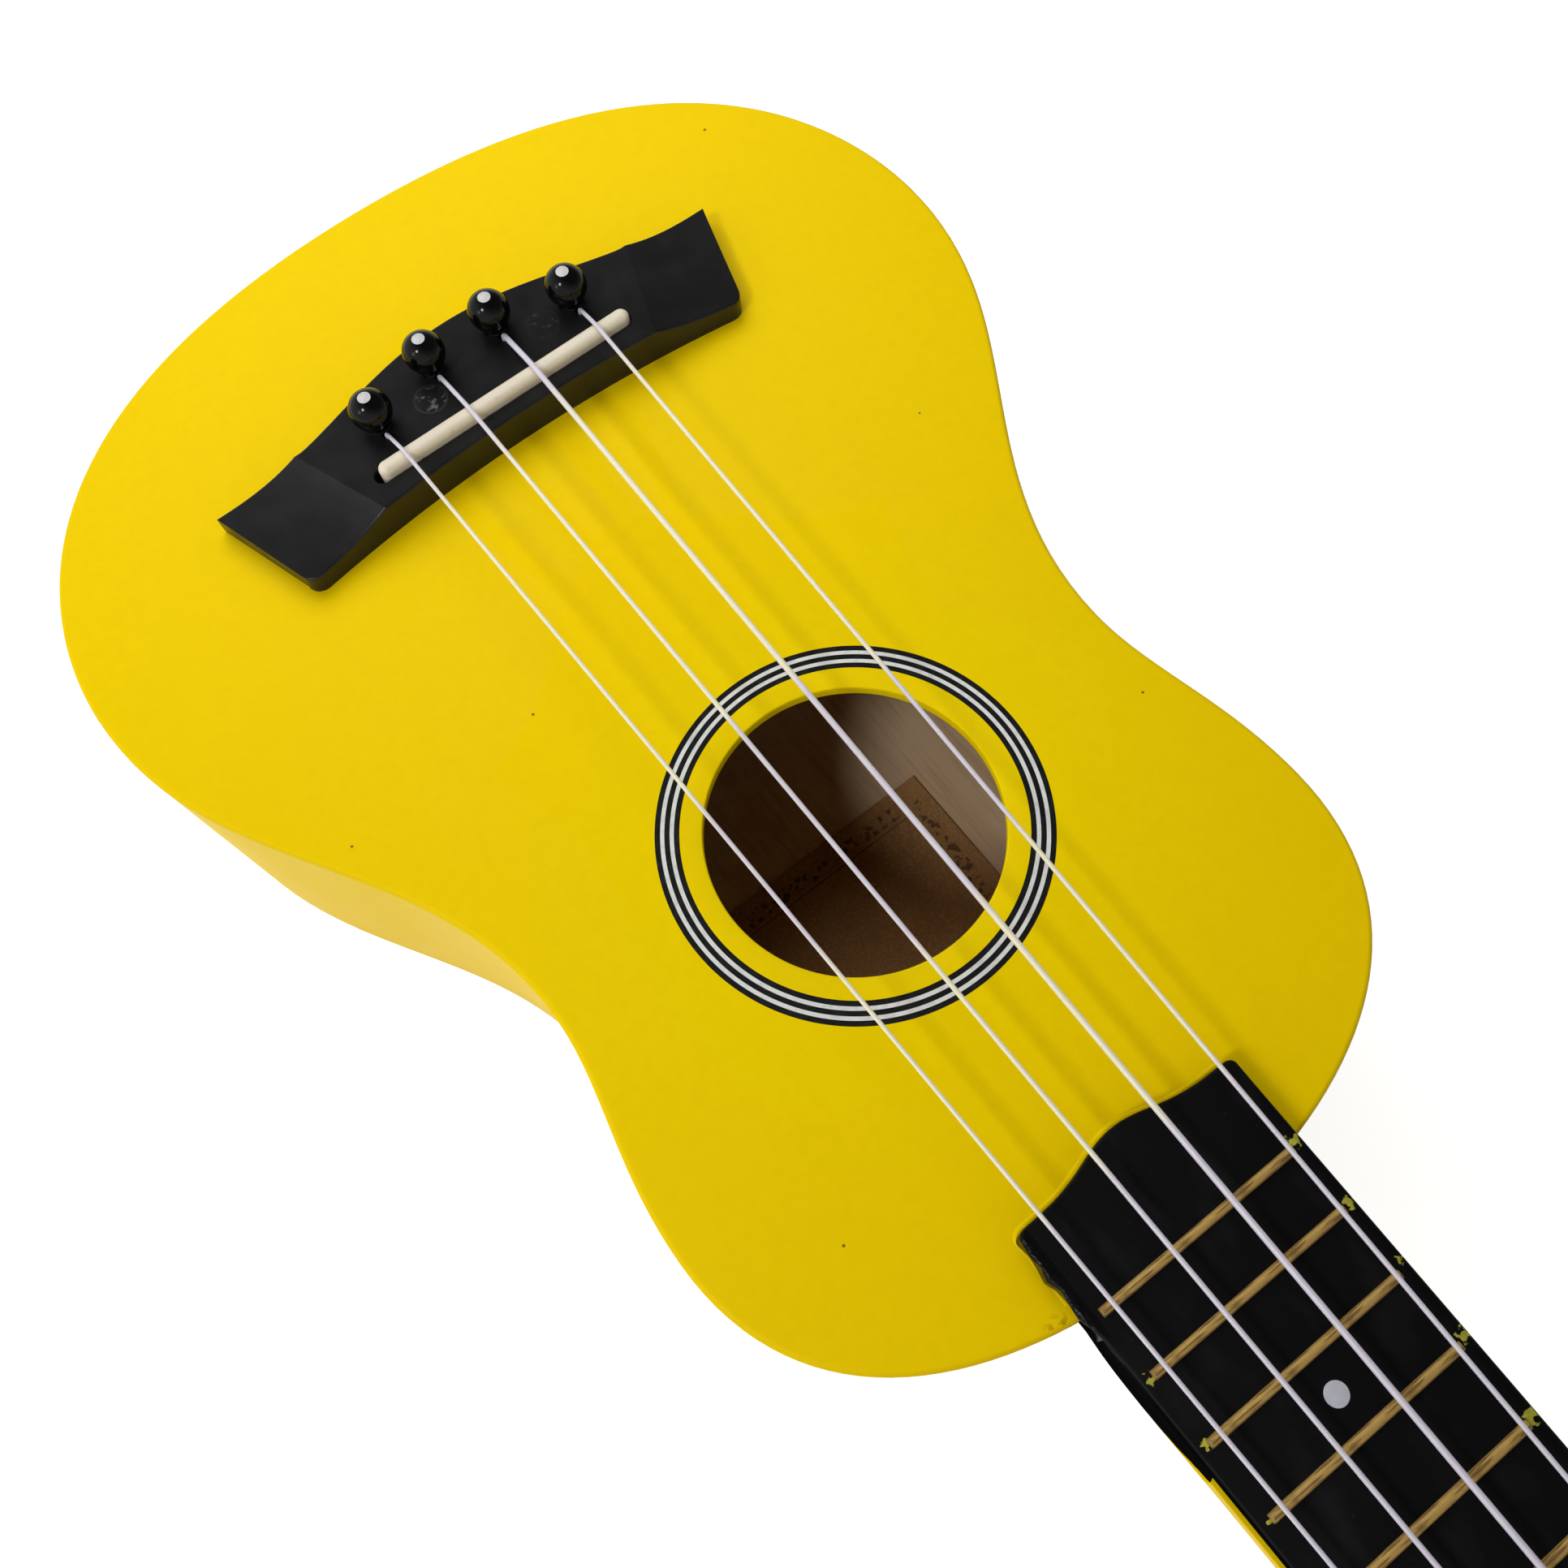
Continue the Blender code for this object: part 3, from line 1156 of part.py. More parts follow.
def plate_mesh():
    """A stamped base with two ears that carry the worm."""
    outline = [(-y, x) for x, y in stadium(TUNER_PLATE_LENGTH, TUNER_PLATE_WIDTH, 5)]
    base = prism("plate_base", outline, PLATE_UNDER_W, PLATE_TOP_W)
    root_w = PLATE_TOP_W - TUNER_PLATE_THICKNESS / 2
    ear = [(-EAR_RADIUS, root_w)]
    ear += [(EAR_RADIUS * math.cos(a), WORM_W + EAR_RADIUS * math.sin(a))
            for a in (math.pi + math.pi * step / 4 for step in range(5))]
    ear.append((EAR_RADIUS, root_w))
    steps = []
    for hand in (-1, 1):
        rings = []
        for x in (EAR_INNER_X, EAR_OUTER_X):
            rings.append([(hand * x, v - GEAR_CENTRE_DISTANCE, w) for v, w in ear])
        steps.append(("UNION", loft("ear", rings)))
    bearing = cylinder("bearing", WORM_CORE_RADIUS + CLEARANCE, -TUNER_PLATE_WIDTH,
                       TUNER_PLATE_WIDTH, 12)
    bearing.transform(Matrix.Rotation(math.pi / 2, 4, "Y"))
    bearing.transform(Matrix.Translation((0.0, -GEAR_CENTRE_DISTANCE, WORM_W)))
    steps.append(("DIFFERENCE", bearing))
    hole = cylinder("post_hole", POST_DIAMETER / 2 + CLEARANCE, PLATE_UNDER_W - CUT_MARGIN,
                    PLATE_TOP_W + CUT_MARGIN, POST_SIDES)
    steps.append(("DIFFERENCE", hole))
    for end in (-1, 1):
        screw = tuner_screw_mesh()
        screw.transform(Matrix.Translation((0.0, end * TUNER_SCREW_SPACING / 2, 0.0)))
        steps.append(("UNION", screw))
    return worked_mesh("tuner_plate", base, steps)


def button_mesh():
    """A moulded button: a round neck that spreads into a flat rounded paddle."""
    wide = BUTTON_WIDTH / 2
    thick = BUTTON_THICKNESS / 2
    neck = BUTTON_NECK_DIAMETER / 2
    stations = ((0.0, neck, neck), (0.10, neck * 1.04, neck * 1.04), (0.26, wide * 0.66, thick * 0.9),
                (0.46, wide * 0.96, thick), (0.66, wide, thick), (0.84, wide * 0.86, thick * 0.92),
                (0.95, wide * 0.58, thick * 0.72), (1.0, wide * 0.30, thick * 0.40))
    rings = []
    for share, half_v, half_w in stations:
        x = BUTTON_START_X + BUTTON_LENGTH * share
        angles = [2 * math.pi * side / BUTTON_SIDES for side in range(BUTTON_SIDES)]
        rings.append([(x, half_v * math.cos(a), half_w * math.sin(a)) for a in angles])
    socket = cylinder("socket", WORM_CORE_RADIUS + CLEARANCE, BUTTON_START_X - CUT_MARGIN,
                      BUTTON_START_X + BUTTON_SOCKET_DEPTH, 14)
    socket.transform(Matrix.Rotation(math.pi / 2, 4, "Y"))
    return worked_mesh("tuner_button", loft("button_blank", rings), [("DIFFERENCE", socket)])


def ferrule_mesh():
    """The bushing that guides the post in the face of the head."""
    sleeve = FERRULE_SLEEVE_DIAMETER / 2
    flange = FERRULE_FLANGE_DIAMETER / 2
    seat = CLEARANCE
    top = seat + FERRULE_FLANGE_THICKNESS
    low = -FERRULE_SLEEVE_LENGTH
    profile = [(0.0, low), (sleeve, low), (sleeve, seat), (flange, seat),
               (flange, seat + FERRULE_FLANGE_THICKNESS * 0.4), (flange * 0.86, top), (0.0, top)]
    blank = turned("ferrule_blank", profile, POST_SIDES)
    bore = cylinder("ferrule_bore", POST_DIAMETER / 2 + CLEARANCE, low - CUT_MARGIN,
                    top + CUT_MARGIN, POST_SIDES)
    return worked_mesh("ferrule", blank, [("DIFFERENCE", bore)])


def tuner_screw_mesh():
    """A small wood screw, tight in the plate that it holds."""
    seat = PLATE_UNDER_W
    head = TUNER_SCREW_HEAD / 2
    shank = TUNER_SCREW_SHANK / 2
    low = seat - TUNER_SCREW_HEAD_HEIGHT
    tip = seat + TUNER_SCREW_LENGTH
    profile = [(0.0, low), (head * 0.7, low), (head, seat), (shank, seat),
               (shank, tip - 0.0015), (0.0, tip)]
    return turned("tuner_screw", profile, 8)


def build_tuners():
    plate = plate_mesh()
    worm = worm_mesh()
    button = button_mesh()
    gear = gear_mesh()
    post = post_mesh()
    ferrule = ferrule_mesh()
    for name, (side, x, v) in tuner_places().items():
        on_head = head_matrix(x, v)
        place(f"tuner_plate_{name}", plate, "nickel", on_head)
        worm_at = head_matrix(x, v - GEAR_CENTRE_DISTANCE, WORM_W)
        if side < 0:
            worm_at = worm_at @ Matrix.Rotation(math.pi, 4, "Y")
        place(f"tuner_worm_{name}", worm, "nickel", worm_at)
        place(f"tuner_button_{name}", button, "gloss_black", worm_at)
        place(f"tuner_gear_{name}", gear, "brass", head_matrix(x, v, WORM_W))
        place(f"tuner_post_{name}", post, "nickel", on_head)
        place(f"ferrule_{name}", ferrule, "nickel", on_head)


# Strings

def winding_radius(name):
    return POST_WAIST_DIAMETER / 2 + CLEARANCE + STRING_DIAMETERS[name] / 2


def wrap_angles(name):
    """Where a string meets its post, and where its first half turn ends."""
    side, x, v = tuner_places()[name]
    to_nut = Vector((nut_string_x(name) - x, -v))
    swing = math.acos(winding_radius(name) / to_nut.length)
    start = math.atan2(to_nut.y, to_nut.x) - side * swing
    return start, start - side * 2 * math.pi * WRAP_TURNS


def bend(points, length, steps=3):
    """A polyline with each inner corner eased into a short curve."""
    eased = [points[0]]
    for before, corner, after in zip(points, points[1:], points[2:]):
        into = corner - (corner - before).normalized() * length
        out = corner + (after - corner).normalized() * length
        for step in range(steps + 1):
            t = step / steps
            eased.append(into * (1 - t) ** 2 + corner * 2 * t * (1 - t) + out * t * t)
    eased.append(points[-1])
    return eased


def string_route(name):
    """Up through the bridge, over the saddle and the nut, and half round the post."""
    radius = STRING_DIAMETERS[name] / 2
    x_pin = pin_places()[name][0]
    across = STRING_NAMES.index(name) - (len(STRING_NAMES) - 1) / 2
    hole_y = string_hole_y(name)
    lift = CLEARANCE + radius
    over_saddle = SADDLE_TOP_Z + lift + BEND_LENGTH * 0.15
    corners = [
        Vector((x_pin, hole_y, BRIDGE_PLATE_UNDER_Z - STRING_TAIL)),
        Vector((x_pin, hole_y, BRIDGE_TOP_Z + BEND_LENGTH * 0.9)),
        Vector((across * SADDLE_STRING_SPACING, SADDLE_Y, over_saddle)),
        Vector((nut_string_x(name), HEAD_Y + BEND_LENGTH * 0.5, nut_string_z(name))),
    ]
    side, x, v = tuner_places()[name]
    start, end = wrap_angles(name)
    round_post = []
    steps = round(WRAP_TURNS * WINDING_POINTS_PER_TURN)
    for step in range(steps + 1):
        angle = start + (end - start) * step / steps
        reach = winding_radius(name)
        local = Vector((x + reach * math.cos(angle), v + reach * math.sin(angle), WRAP_HEIGHT))
        round_post.append(head_matrix() @ local)
    eased = bend(corners + [round_post[0]], BEND_LENGTH)
    return eased[:-1] + round_post


def winding_route(name):
    """The turns above, in the post's own frame, whose end goes in through the string hole."""
    side = tuner_places()[name][0]
    diameter = STRING_DIAMETERS[name]
    start = wrap_angles(name)[1]
    low = WRAP_HEIGHT + diameter + WINDING_STEP_OVER
    target = start - side * 2 * math.pi * WINDING_TURNS
    end = round(target / math.pi) * math.pi
    turn = abs(end - start)
    steps = round(turn / (2 * math.pi) * WINDING_POINTS_PER_TURN)
    reach = winding_radius(name)
    points = []
    for step in range(steps):
        share = step / steps
        angle = start + (end - start) * share
        height = low + (POST_HOLE_HEIGHT - low) * share
        points.append(Vector((reach * math.cos(angle), reach * math.sin(angle), height)))
    inward = Vector((math.cos(end), math.sin(end), 0.0))
    for distance in (reach - 0.0003, reach - 0.0012, 0.0, -reach - diameter):
        point = inward * distance
        point.z = POST_HOLE_HEIGHT
        points.append(point)
    return points


def least_gap(points, diameter):
    """The least free space between a tube's own turns."""
    least = math.inf
    travelled = [0.0]
    for before, after in zip(points, points[1:]):
        travelled.append(travelled[-1] + (after - before).length)
    apart = 6 * diameter
    for i, first in enumerate(points):
        for j in range(i + 1, len(points)):
            if travelled[j] - travelled[i] > apart:
                least = min(least, (points[j] - first).length - diameter)
    return least


def build_strings():
    for name in STRING_NAMES:
        diameter = STRING_DIAMETERS[name]
        tube(f"string_{name}", string_route(name), diameter, "nylon", 1)
        _, x, v = tuner_places()[name]
        winding = winding_route(name)
        tube(f"winding_{name}", winding, diameter, "nylon", 1, head_matrix(x, v))
        print(f"winding_{name}: least gap {least_gap(winding, diameter) * 1000:.2f} mm")


def main():
    clear_scene()
    make_materials()
    pin_holes, string_slots = pin_cutters()
    build_soundboard(pin_holes, string_slots)
    build_back()
    build_sides()
    build_linings()
    build_blocks()
    build_braces()
    build_bridge_plate(pin_holes, string_slots)
    build_label()
    build_neck()
    build_fingerboard()
    build_markers()
    build_nut()
    build_bridge(pin_holes, string_slots)
    build_saddle()
    build_pins()
    build_tuners()
    build_strings()


main()
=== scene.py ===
"""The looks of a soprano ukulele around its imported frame.

Metres, in the frame's own axes: +Z out of the soundboard, +Y along the neck to the head, +X the
side of the first (A) string. Every piece here is a finer form of a node, from the same sizes.
"""

import json
import math

import bmesh
import bpy
from mathutils import Matrix, Vector, noise

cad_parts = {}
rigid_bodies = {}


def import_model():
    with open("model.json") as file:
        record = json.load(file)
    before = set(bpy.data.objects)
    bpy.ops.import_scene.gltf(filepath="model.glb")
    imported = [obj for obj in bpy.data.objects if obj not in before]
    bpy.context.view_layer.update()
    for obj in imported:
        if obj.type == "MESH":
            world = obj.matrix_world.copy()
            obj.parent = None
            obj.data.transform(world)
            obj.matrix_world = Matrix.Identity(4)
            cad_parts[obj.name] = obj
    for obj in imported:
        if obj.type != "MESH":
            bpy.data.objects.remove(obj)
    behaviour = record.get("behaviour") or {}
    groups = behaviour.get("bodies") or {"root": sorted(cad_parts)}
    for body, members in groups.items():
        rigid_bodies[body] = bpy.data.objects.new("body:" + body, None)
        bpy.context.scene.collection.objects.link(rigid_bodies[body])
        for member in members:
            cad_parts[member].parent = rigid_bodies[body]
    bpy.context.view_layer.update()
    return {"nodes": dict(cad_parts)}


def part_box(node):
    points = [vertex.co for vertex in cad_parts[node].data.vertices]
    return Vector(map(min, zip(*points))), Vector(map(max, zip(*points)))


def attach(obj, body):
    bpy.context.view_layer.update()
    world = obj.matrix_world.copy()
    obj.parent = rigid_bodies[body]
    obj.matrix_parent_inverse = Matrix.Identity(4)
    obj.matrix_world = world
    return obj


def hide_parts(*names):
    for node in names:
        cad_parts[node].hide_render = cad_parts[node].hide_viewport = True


for startup_object in list(bpy.data.objects):
    bpy.data.objects.remove(startup_object, do_unlink=True)
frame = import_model()

# Camera: where it stands, the point of the soundboard's plane that it looks at, and its roll
CAMERA_PLACE = (0.0469, -0.0360, 0.2822)
CAMERA_AIM = (0.0043, -0.1086, 0.0580)
CAMERA_ROLL = math.radians(140.37)
CAMERA_LENS = 34.204
CAMERA_SENSOR = 36.0

# Fits
CLEARANCE = 0.0003
CUT_MARGIN = 0.002
BEDDED = 0.0001

# Body, from the frame where a node's box gives the size
BACK_LOW, BACK_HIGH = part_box("back_plate")
BOARD_LOW, BOARD_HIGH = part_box("soundboard")
TAIL_Y = BACK_LOW.y
BODY_LENGTH = BACK_HIGH.y - BACK_LOW.y
LOWER_BOUT_WIDTH = BACK_HIGH.x - BACK_LOW.x
WAIST_WIDTH = 0.1100
UPPER_BOUT_WIDTH = 0.1220
TAIL_TO_LOWER_BOUT = 0.0630
TAIL_TO_WAIST = 0.1520
TAIL_TO_UPPER_BOUT = 0.1930
TAIL_ROUND = 0.0725
LOWER_BOUT_TAIL_ROUND = 0.0235
LOWER_BOUT_WAIST_ROUND = 0.0375
WAIST_TAIL_ROUND = 0.0355
WAIST_NECK_ROUND = 0.0130
UPPER_BOUT_WAIST_ROUND = 0.0170
UPPER_BOUT_NECK_ROUND = 0.0310
SHOULDER_ROUND = 0.0320
OUTLINE_STEPS = (40, 30, 24, 34)
BODY_DEPTH = BOARD_HIGH.z
SOUNDBOARD_UNDER_Z = BOARD_LOW.z
BACK_THICKNESS = BACK_HIGH.z
SIDE_THICKNESS = 0.0020
SIDE_SHY = 0.00002
EDGE_ROUND = 0.0010
SOUNDHOLE_RADIUS = 0.0242
SOUNDHOLE_EDGE = 0.0003
SOUNDHOLE_Y = TAIL_Y + 0.1565
ROSETTE_RADIUS = 0.03185
ROSETTE_EDGES = (0.875, 0.903, 0.924, 0.951, 0.972, 1.0)

# Label
LABEL_LOW, LABEL_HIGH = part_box("label")

# Scale and strings
SCALE_LENGTH = 0.3450
COMPENSATION = 0.0031
SADDLE_Y = TAIL_Y + 0.0587
STRING_NAMES = ("g", "c", "e", "a")
OUTER_STRINGS = ("g", "a")
STRING_DIAMETERS = {"g": 0.00076, "c": 0.00102, "e": 0.00081, "a": 0.00071}
SADDLE_STRING_SPACING = 0.0134
NUT_STRING_SPACING = 0.0086
STRING_TAIL = 0.0030
BEND_LENGTH = 0.0010
STRING_SLOT_PLAY = 0.00035
STRING_SIDES = 16

# Fingerboard, frets and markers
BOARD_THICKNESS = 0.0035
BOARD_WIDTH_AT_NUT = 0.0350
BOARD_WIDTH_AT_TWELFTH = 0.0404
BOARD_OVER_BODY = 0.0150
BOARD_TONGUE = 0.0030
BOARD_TONGUE_HALF_WIDTH = 0.0087
BOARD_CORNER_ROUND = 0.0012
BOARD_EDGE_ROUND = 0.0005
FRET_COUNT = 12
FRET_WIDTH = 0.0015
FRET_HEIGHT = 0.0009
FRET_INSET = 0.0020
TANG_DEPTH = 0.0010
MARKED_FRETS = (5, 7, 10)
MARKER_RADIUS = 0.0018
MARKER_THICKNESS = 0.0010
MARKER_EDGE = 0.0001

# Nut
NUT_THICKNESS = 0.0045
NUT_RISE_OVER_FRETS = 0.0004
NUT_SHOULDER = 0.0004
NUT_CROWN_HEIGHT = 0.0009
NUT_CROWN_LENGTH = 0.0008
NUT_FRONT_ROUND = 0.0003
NUT_FRONT_SLOPE = 0.0012
NUT_EDGE_ROUND = 0.00012

# Neck and heel
NECK_MARGIN = 0.0007
NECK_DEPTH_AT_NUT = 0.0130
NECK_DEPTH_AT_HEEL = 0.0150
HEEL_DEPTH = 0.0510
HEEL_LENGTH = 0.0420
HEEL_SWEEP = 2.4
NECK_FULLNESS = 3.4
NECK_CORNER_ROUND = 0.00015
HEEL_FULLNESS = 1.45

# Head
HEAD_LENGTH = 0.0950
HEAD_TILT = math.radians(10)
HEAD_THICKNESS = 0.0110
HEAD_STEP = 0.0002
HEAD_WIDTH_LOW = 0.0520
HEAD_WIDTH_HIGH = 0.0550
HEAD_EDGE_ROUND = 0.0010
HEAD_FLARE_LENGTH = 0.0180
HEAD_CREST = 0.0050
HEAD_FULLNESS = 24.0
HEAD_SLAB_START = 0.0145
HEAD_SUNK = 0.00002
VOLUTE_BEFORE = 0.0100
VOLUTE_AFTER = 0.0160

# Bridge. Distances run from the saddle, towards the neck where positive.
BRIDGE_HEIGHT = 0.0070
BRIDGE_WING_HEIGHT = 0.0040
BRIDGE_FRONT_WIDTH = 0.0926
BRIDGE_TAIL_WIDTH = 0.1044
BRIDGE_FRONT_BREAK = 0.0564
BRIDGE_TAIL_BREAK = 0.0704
BRIDGE_FRONT = 0.0045
BRIDGE_FRONT_CURVE = 0.0039
BRIDGE_BACK = 0.0132
BRIDGE_BELLY = 0.0070
BRIDGE_BELLY_WIDTH = 0.0680
BRIDGE_CORNER_ROUND = 0.0030
BRIDGE_EDGE_ROUND = 0.0005
BRIDGE_SCOOP = 2.6
BRIDGE_STATIONS_CENTRE = 30
BRIDGE_STATIONS_WING = 26
BRIDGE_PLATE_UNDER_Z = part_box("bridge_plate")[0].z

# Saddle
SADDLE_LENGTH = 0.0520
SADDLE_THICKNESS = 0.0030
SADDLE_RISE = 0.0021
SADDLE_SLOT_DEPTH = 0.0040
SADDLE_SLOT_SPARE = 0.0010

# Bridge pins
PIN_SPACING = 0.0136
PIN_TO_SADDLE_OUTER = 0.0094
PIN_TO_SADDLE_INNER = 0.0136
PIN_HEAD_DIAMETER = 0.0075
PIN_COLLAR_DIAMETER = 0.0050
PIN_COLLAR_HEIGHT = 0.0012
PIN_TOP_DIAMETER = 0.0044
PIN_TIP_DIAMETER = 0.0036
PIN_LENGTH = 0.0170
PIN_DOT_DIAMETER = 0.0023
ROUND_SIDES = 48

# Tuners. In the head's own frame: x across, v along the head, w out of its face.
POST_SIDE = 0.0155
NEAR_POST = 0.0260
POST_PITCH = 0.0350
POST_DIAMETER = 0.0060
POST_WAIST_DIAMETER = 0.0054
POST_HEIGHT = 0.0130
POST_HOLE_DIAMETER = 0.0018
POST_HOLE_HEIGHT = 0.0095
POST_TOP_ROUND = 0.0006
POST_EDGE = 0.0001
POST_WAIST_TOP = POST_HOLE_HEIGHT + 0.0006
POST_WAIST_RISE = 0.0012
POST_WAIST_FALL = 0.0008
WRAP_HEIGHT = 0.0032
WRAP_TURNS = 0.5
WINDING_STEP_OVER = 0.0008
WINDING_TURNS = 2.2
WINDING_POINTS_PER_TURN = 48
WINDING_SNUG = CLEARANCE * 0.8
FERRULE_SLEEVE_DIAMETER = 0.0080
FERRULE_SLEEVE_LENGTH = 0.0060
FERRULE_FLANGE_DIAMETER = 0.0105
FERRULE_FLANGE_THICKNESS = 0.0012
TUNER_PLATE_LENGTH = 0.0280
TUNER_PLATE_WIDTH = 0.0122
TUNER_PLATE_THICKNESS = 0.0010
PLATE_EDGE_ROUND = 0.00015
TUNER_SCREW_SPACING = 0.0220
TUNER_SCREW_SHANK = 0.0018
TUNER_SCREW_LENGTH = 0.0070
TUNER_SCREW_HEAD = 0.0040
TUNER_SCREW_HEAD_HEIGHT = 0.0010
EAR_THICKNESS = 0.0010
EAR_WALL = 0.0011

# Worm and gear
GEAR_TEETH = 14
GEAR_PITCH_RADIUS = 0.0045
GEAR_THICKNESS = 0.0026
GEAR_EDGE_ROUND = 0.00006
WORM_OUTER_RADIUS = 0.00275
WORM_CORE_RADIUS = 0.0013
WORM_TURNS = 3.1
WORM_STEPS_PER_TURN = 36
WORM_CREST_HALF = 0.00018
WORM_ROOT_HALF = 0.00048
TOOTH_TIP_HALF = 0.00020
TOOTH_ROOT_HALF = 0.00050
WORM_COLLAR_RADIUS = 0.0020
WORM_COLLAR_LENGTH = 0.0009
SPIGOT_SIDE = 0.0032
GEAR_SCREW_HEAD = 0.0050
GEAR_SCREW_HEAD_HEIGHT = 0.0012

# Tuning buttons
BUTTON_LENGTH = 0.0150
BUTTON_WIDTH = 0.0166
BUTTON_THICKNESS = 0.0070
BUTTON_NECK_DIAMETER = 0.0054
BUTTON_HEAD_GAP = 0.0012
BUTTON_SOCKET_DEPTH = 0.0060

# Places that follow from the sizes above
NUT_FRONT_Y = SADDLE_Y + SCALE_LENGTH + COMPENSATION
HEAD_Y = NUT_FRONT_Y + NUT_THICKNESS
NECK_JOINT_Y = TAIL_Y + BODY_LENGTH
BOARD_TOP_Z = BODY_DEPTH + CLEARANCE + BOARD_THICKNESS
FRET_TOP_Z = BOARD_TOP_Z + FRET_HEIGHT
BRIDGE_TOP_Z = BODY_DEPTH + CLEARANCE + BRIDGE_HEIGHT
SADDLE_TOP_Z = BRIDGE_TOP_Z + SADDLE_RISE
FAR_POST = NEAR_POST + POST_PITCH
WORM_LEAD = 2 * math.pi * GEAR_PITCH_RADIUS / GEAR_TEETH
WORM_PITCH_RADIUS = (WORM_OUTER_RADIUS + WORM_CORE_RADIUS) / 2
GEAR_CENTRE_DISTANCE = GEAR_PITCH_RADIUS + WORM_PITCH_RADIUS
GEAR_TIP_RADIUS = GEAR_CENTRE_DISTANCE - WORM_CORE_RADIUS - CLEARANCE
GEAR_ROOT_RADIUS = GEAR_CENTRE_DISTANCE - WORM_OUTER_RADIUS - CLEARANCE
PLATE_TOP_W = -HEAD_THICKNESS
PLATE_UNDER_W = PLATE_TOP_W - CLEARANCE - TUNER_PLATE_THICKNESS
WORM_W = PLATE_UNDER_W - CLEARANCE - WORM_OUTER_RADIUS
GEAR_TOP_W = WORM_W + GEAR_THICKNESS / 2
GEAR_UNDER_W = WORM_W - GEAR_THICKNESS / 2
WORM_HALF_LENGTH = WORM_TURNS * WORM_LEAD / 2
EAR_INNER_X = WORM_HALF_LENGTH + CLEARANCE
EAR_OUTER_X = EAR_INNER_X + EAR_THICKNESS
EAR_RADIUS = WORM_CORE_RADIUS + CLEARANCE + EAR_WALL
COLLAR_INNER_X = EAR_OUTER_X + CLEARANCE
COLLAR_OUTER_X = COLLAR_INNER_X + WORM_COLLAR_LENGTH
BUTTON_START_X = HEAD_WIDTH_HIGH / 2 - POST_SIDE + BUTTON_HEAD_GAP
WORM_END_X = BUTTON_START_X + BUTTON_SOCKET_DEPTH - CLEARANCE
SCREW_SEAT_W = GEAR_UNDER_W - CLEARANCE


def fret_y(number):
    return NUT_FRONT_Y - SCALE_LENGTH * (1 - 2 ** (-number / 12))


def board_half_width(y):
    share = (NUT_FRONT_Y - y) / (NUT_FRONT_Y - fret_y(12))
    return (BOARD_WIDTH_AT_NUT + (BOARD_WIDTH_AT_TWELFTH - BOARD_WIDTH_AT_NUT) * share) / 2


# Forms: each is (points, faces), in metres

def loft(rings, loop=False):
    """Quads between rings of as many points each, with flat ends unless it closes on itself."""
    size = len(rings[0])
    count = len(rings)
    faces = []
    for ring in range(count if loop else count - 1):
        low = ring * size
        high = (ring + 1) % count * size
        for side in range(size):
            after = (side + 1) % size
            faces.append((low + side, low + after, high + after, high + side))
    if not loop:
        faces.append(tuple(range(size)))
        faces.append(tuple(range((count - 1) * size, count * size)))
    return [point for ring in rings for point in ring], faces


def prism(outline, low, high):
    return loft([[(x, y, z) for x, y in outline] for z in (low, high)])


def arc(start, end, steps):
    """(cosine, sine) of angles from one to another, both included."""
    angles = (start + (end - start) * step / steps for step in range(steps + 1))
    return [(math.cos(angle), math.sin(angle)) for angle in angles]


def circle(radius, sides, centre=(0.0, 0.0)):
    return [(centre[0] + radius * c, centre[1] + radius * s)
            for c, s in arc(0, 2 * math.pi, sides)[:-1]]


def cylinder(radius, low, high, sides=ROUND_SIDES, centre=(0.0, 0.0)):
    return prism(circle(radius, sides, centre), low, high)


def turned(profile, sides=ROUND_SIDES):
    """A form turned about Z from (radius, height) points that start and end on the axis."""
    points = [(0.0, 0.0, profile[0][1])]
    for radius, height in profile[1:-1]:
        points += [(x, y, height) for x, y in circle(radius, sides)]
    points.append((0.0, 0.0, profile[-1][1]))
    last = 1 + (len(profile) - 3) * sides
    faces = []
    for side in range(sides):
        after = (side + 1) % sides
        faces.append((0, 1 + after, 1 + side))
        for low in range(1, last, sides):
            high = low + sides
            faces.append((low + side, low + after, high + after, high + side))
        faces.append((len(points) - 1, last + side, last + after))
    return points, faces


def stadium(length, width, steps):
    """A slot outline along X with round ends."""
    radius = width / 2
    reach = length / 2 - radius
    points = [(reach + radius * c, radius * s) for c, s in arc(-math.pi / 2, math.pi / 2, steps)]
    return points + [(-x, -y) for x, y in points]


def rectangle(width, length, centre_y=0.0):
    half = width / 2
    return [(-half, centre_y - length / 2), (half, centre_y - length / 2),
            (half, centre_y + length / 2), (-half, centre_y + length / 2)]


def tube(points, radius, sides=STRING_SIDES):
    """A round tube along a polyline, with domed ends, whose section doesn't twist."""
    points = [Vector(point) for point in points]
    ways = [(after - before).normalized()
            for before, after in zip([points[0]] + points, points[1:] + [points[-1]])]
    ways = [(a + b).normalized() for a, b in zip(ways, ways[1:])] + [ways[-1]]
    ways[0] = (points[1] - points[0]).normalized()
    across = ways[0].orthogonal().normalized()
    rings = []
    for index, (point, way) in enumerate(zip(points, ways)):
        across = (across - way * across.dot(way)).normalized()
        other = way.cross(across)
        ends = {0: -1, len(points) - 1: 1}
        shares = ((0.0, 1.0),)
        if index in ends:
            shares = ((0.0, 1.0), (0.30, 0.9), (0.5, 0.6))[::ends[index]]
        for beyond, share in shares:
            centre = point + way * radius * beyond * ends.get(index, 0)
            rings.append([centre + (across * c + other * s) * radius * share
                          for c, s in arc(0, 2 * math.pi, sides)[:-1]])
    return loft(rings)


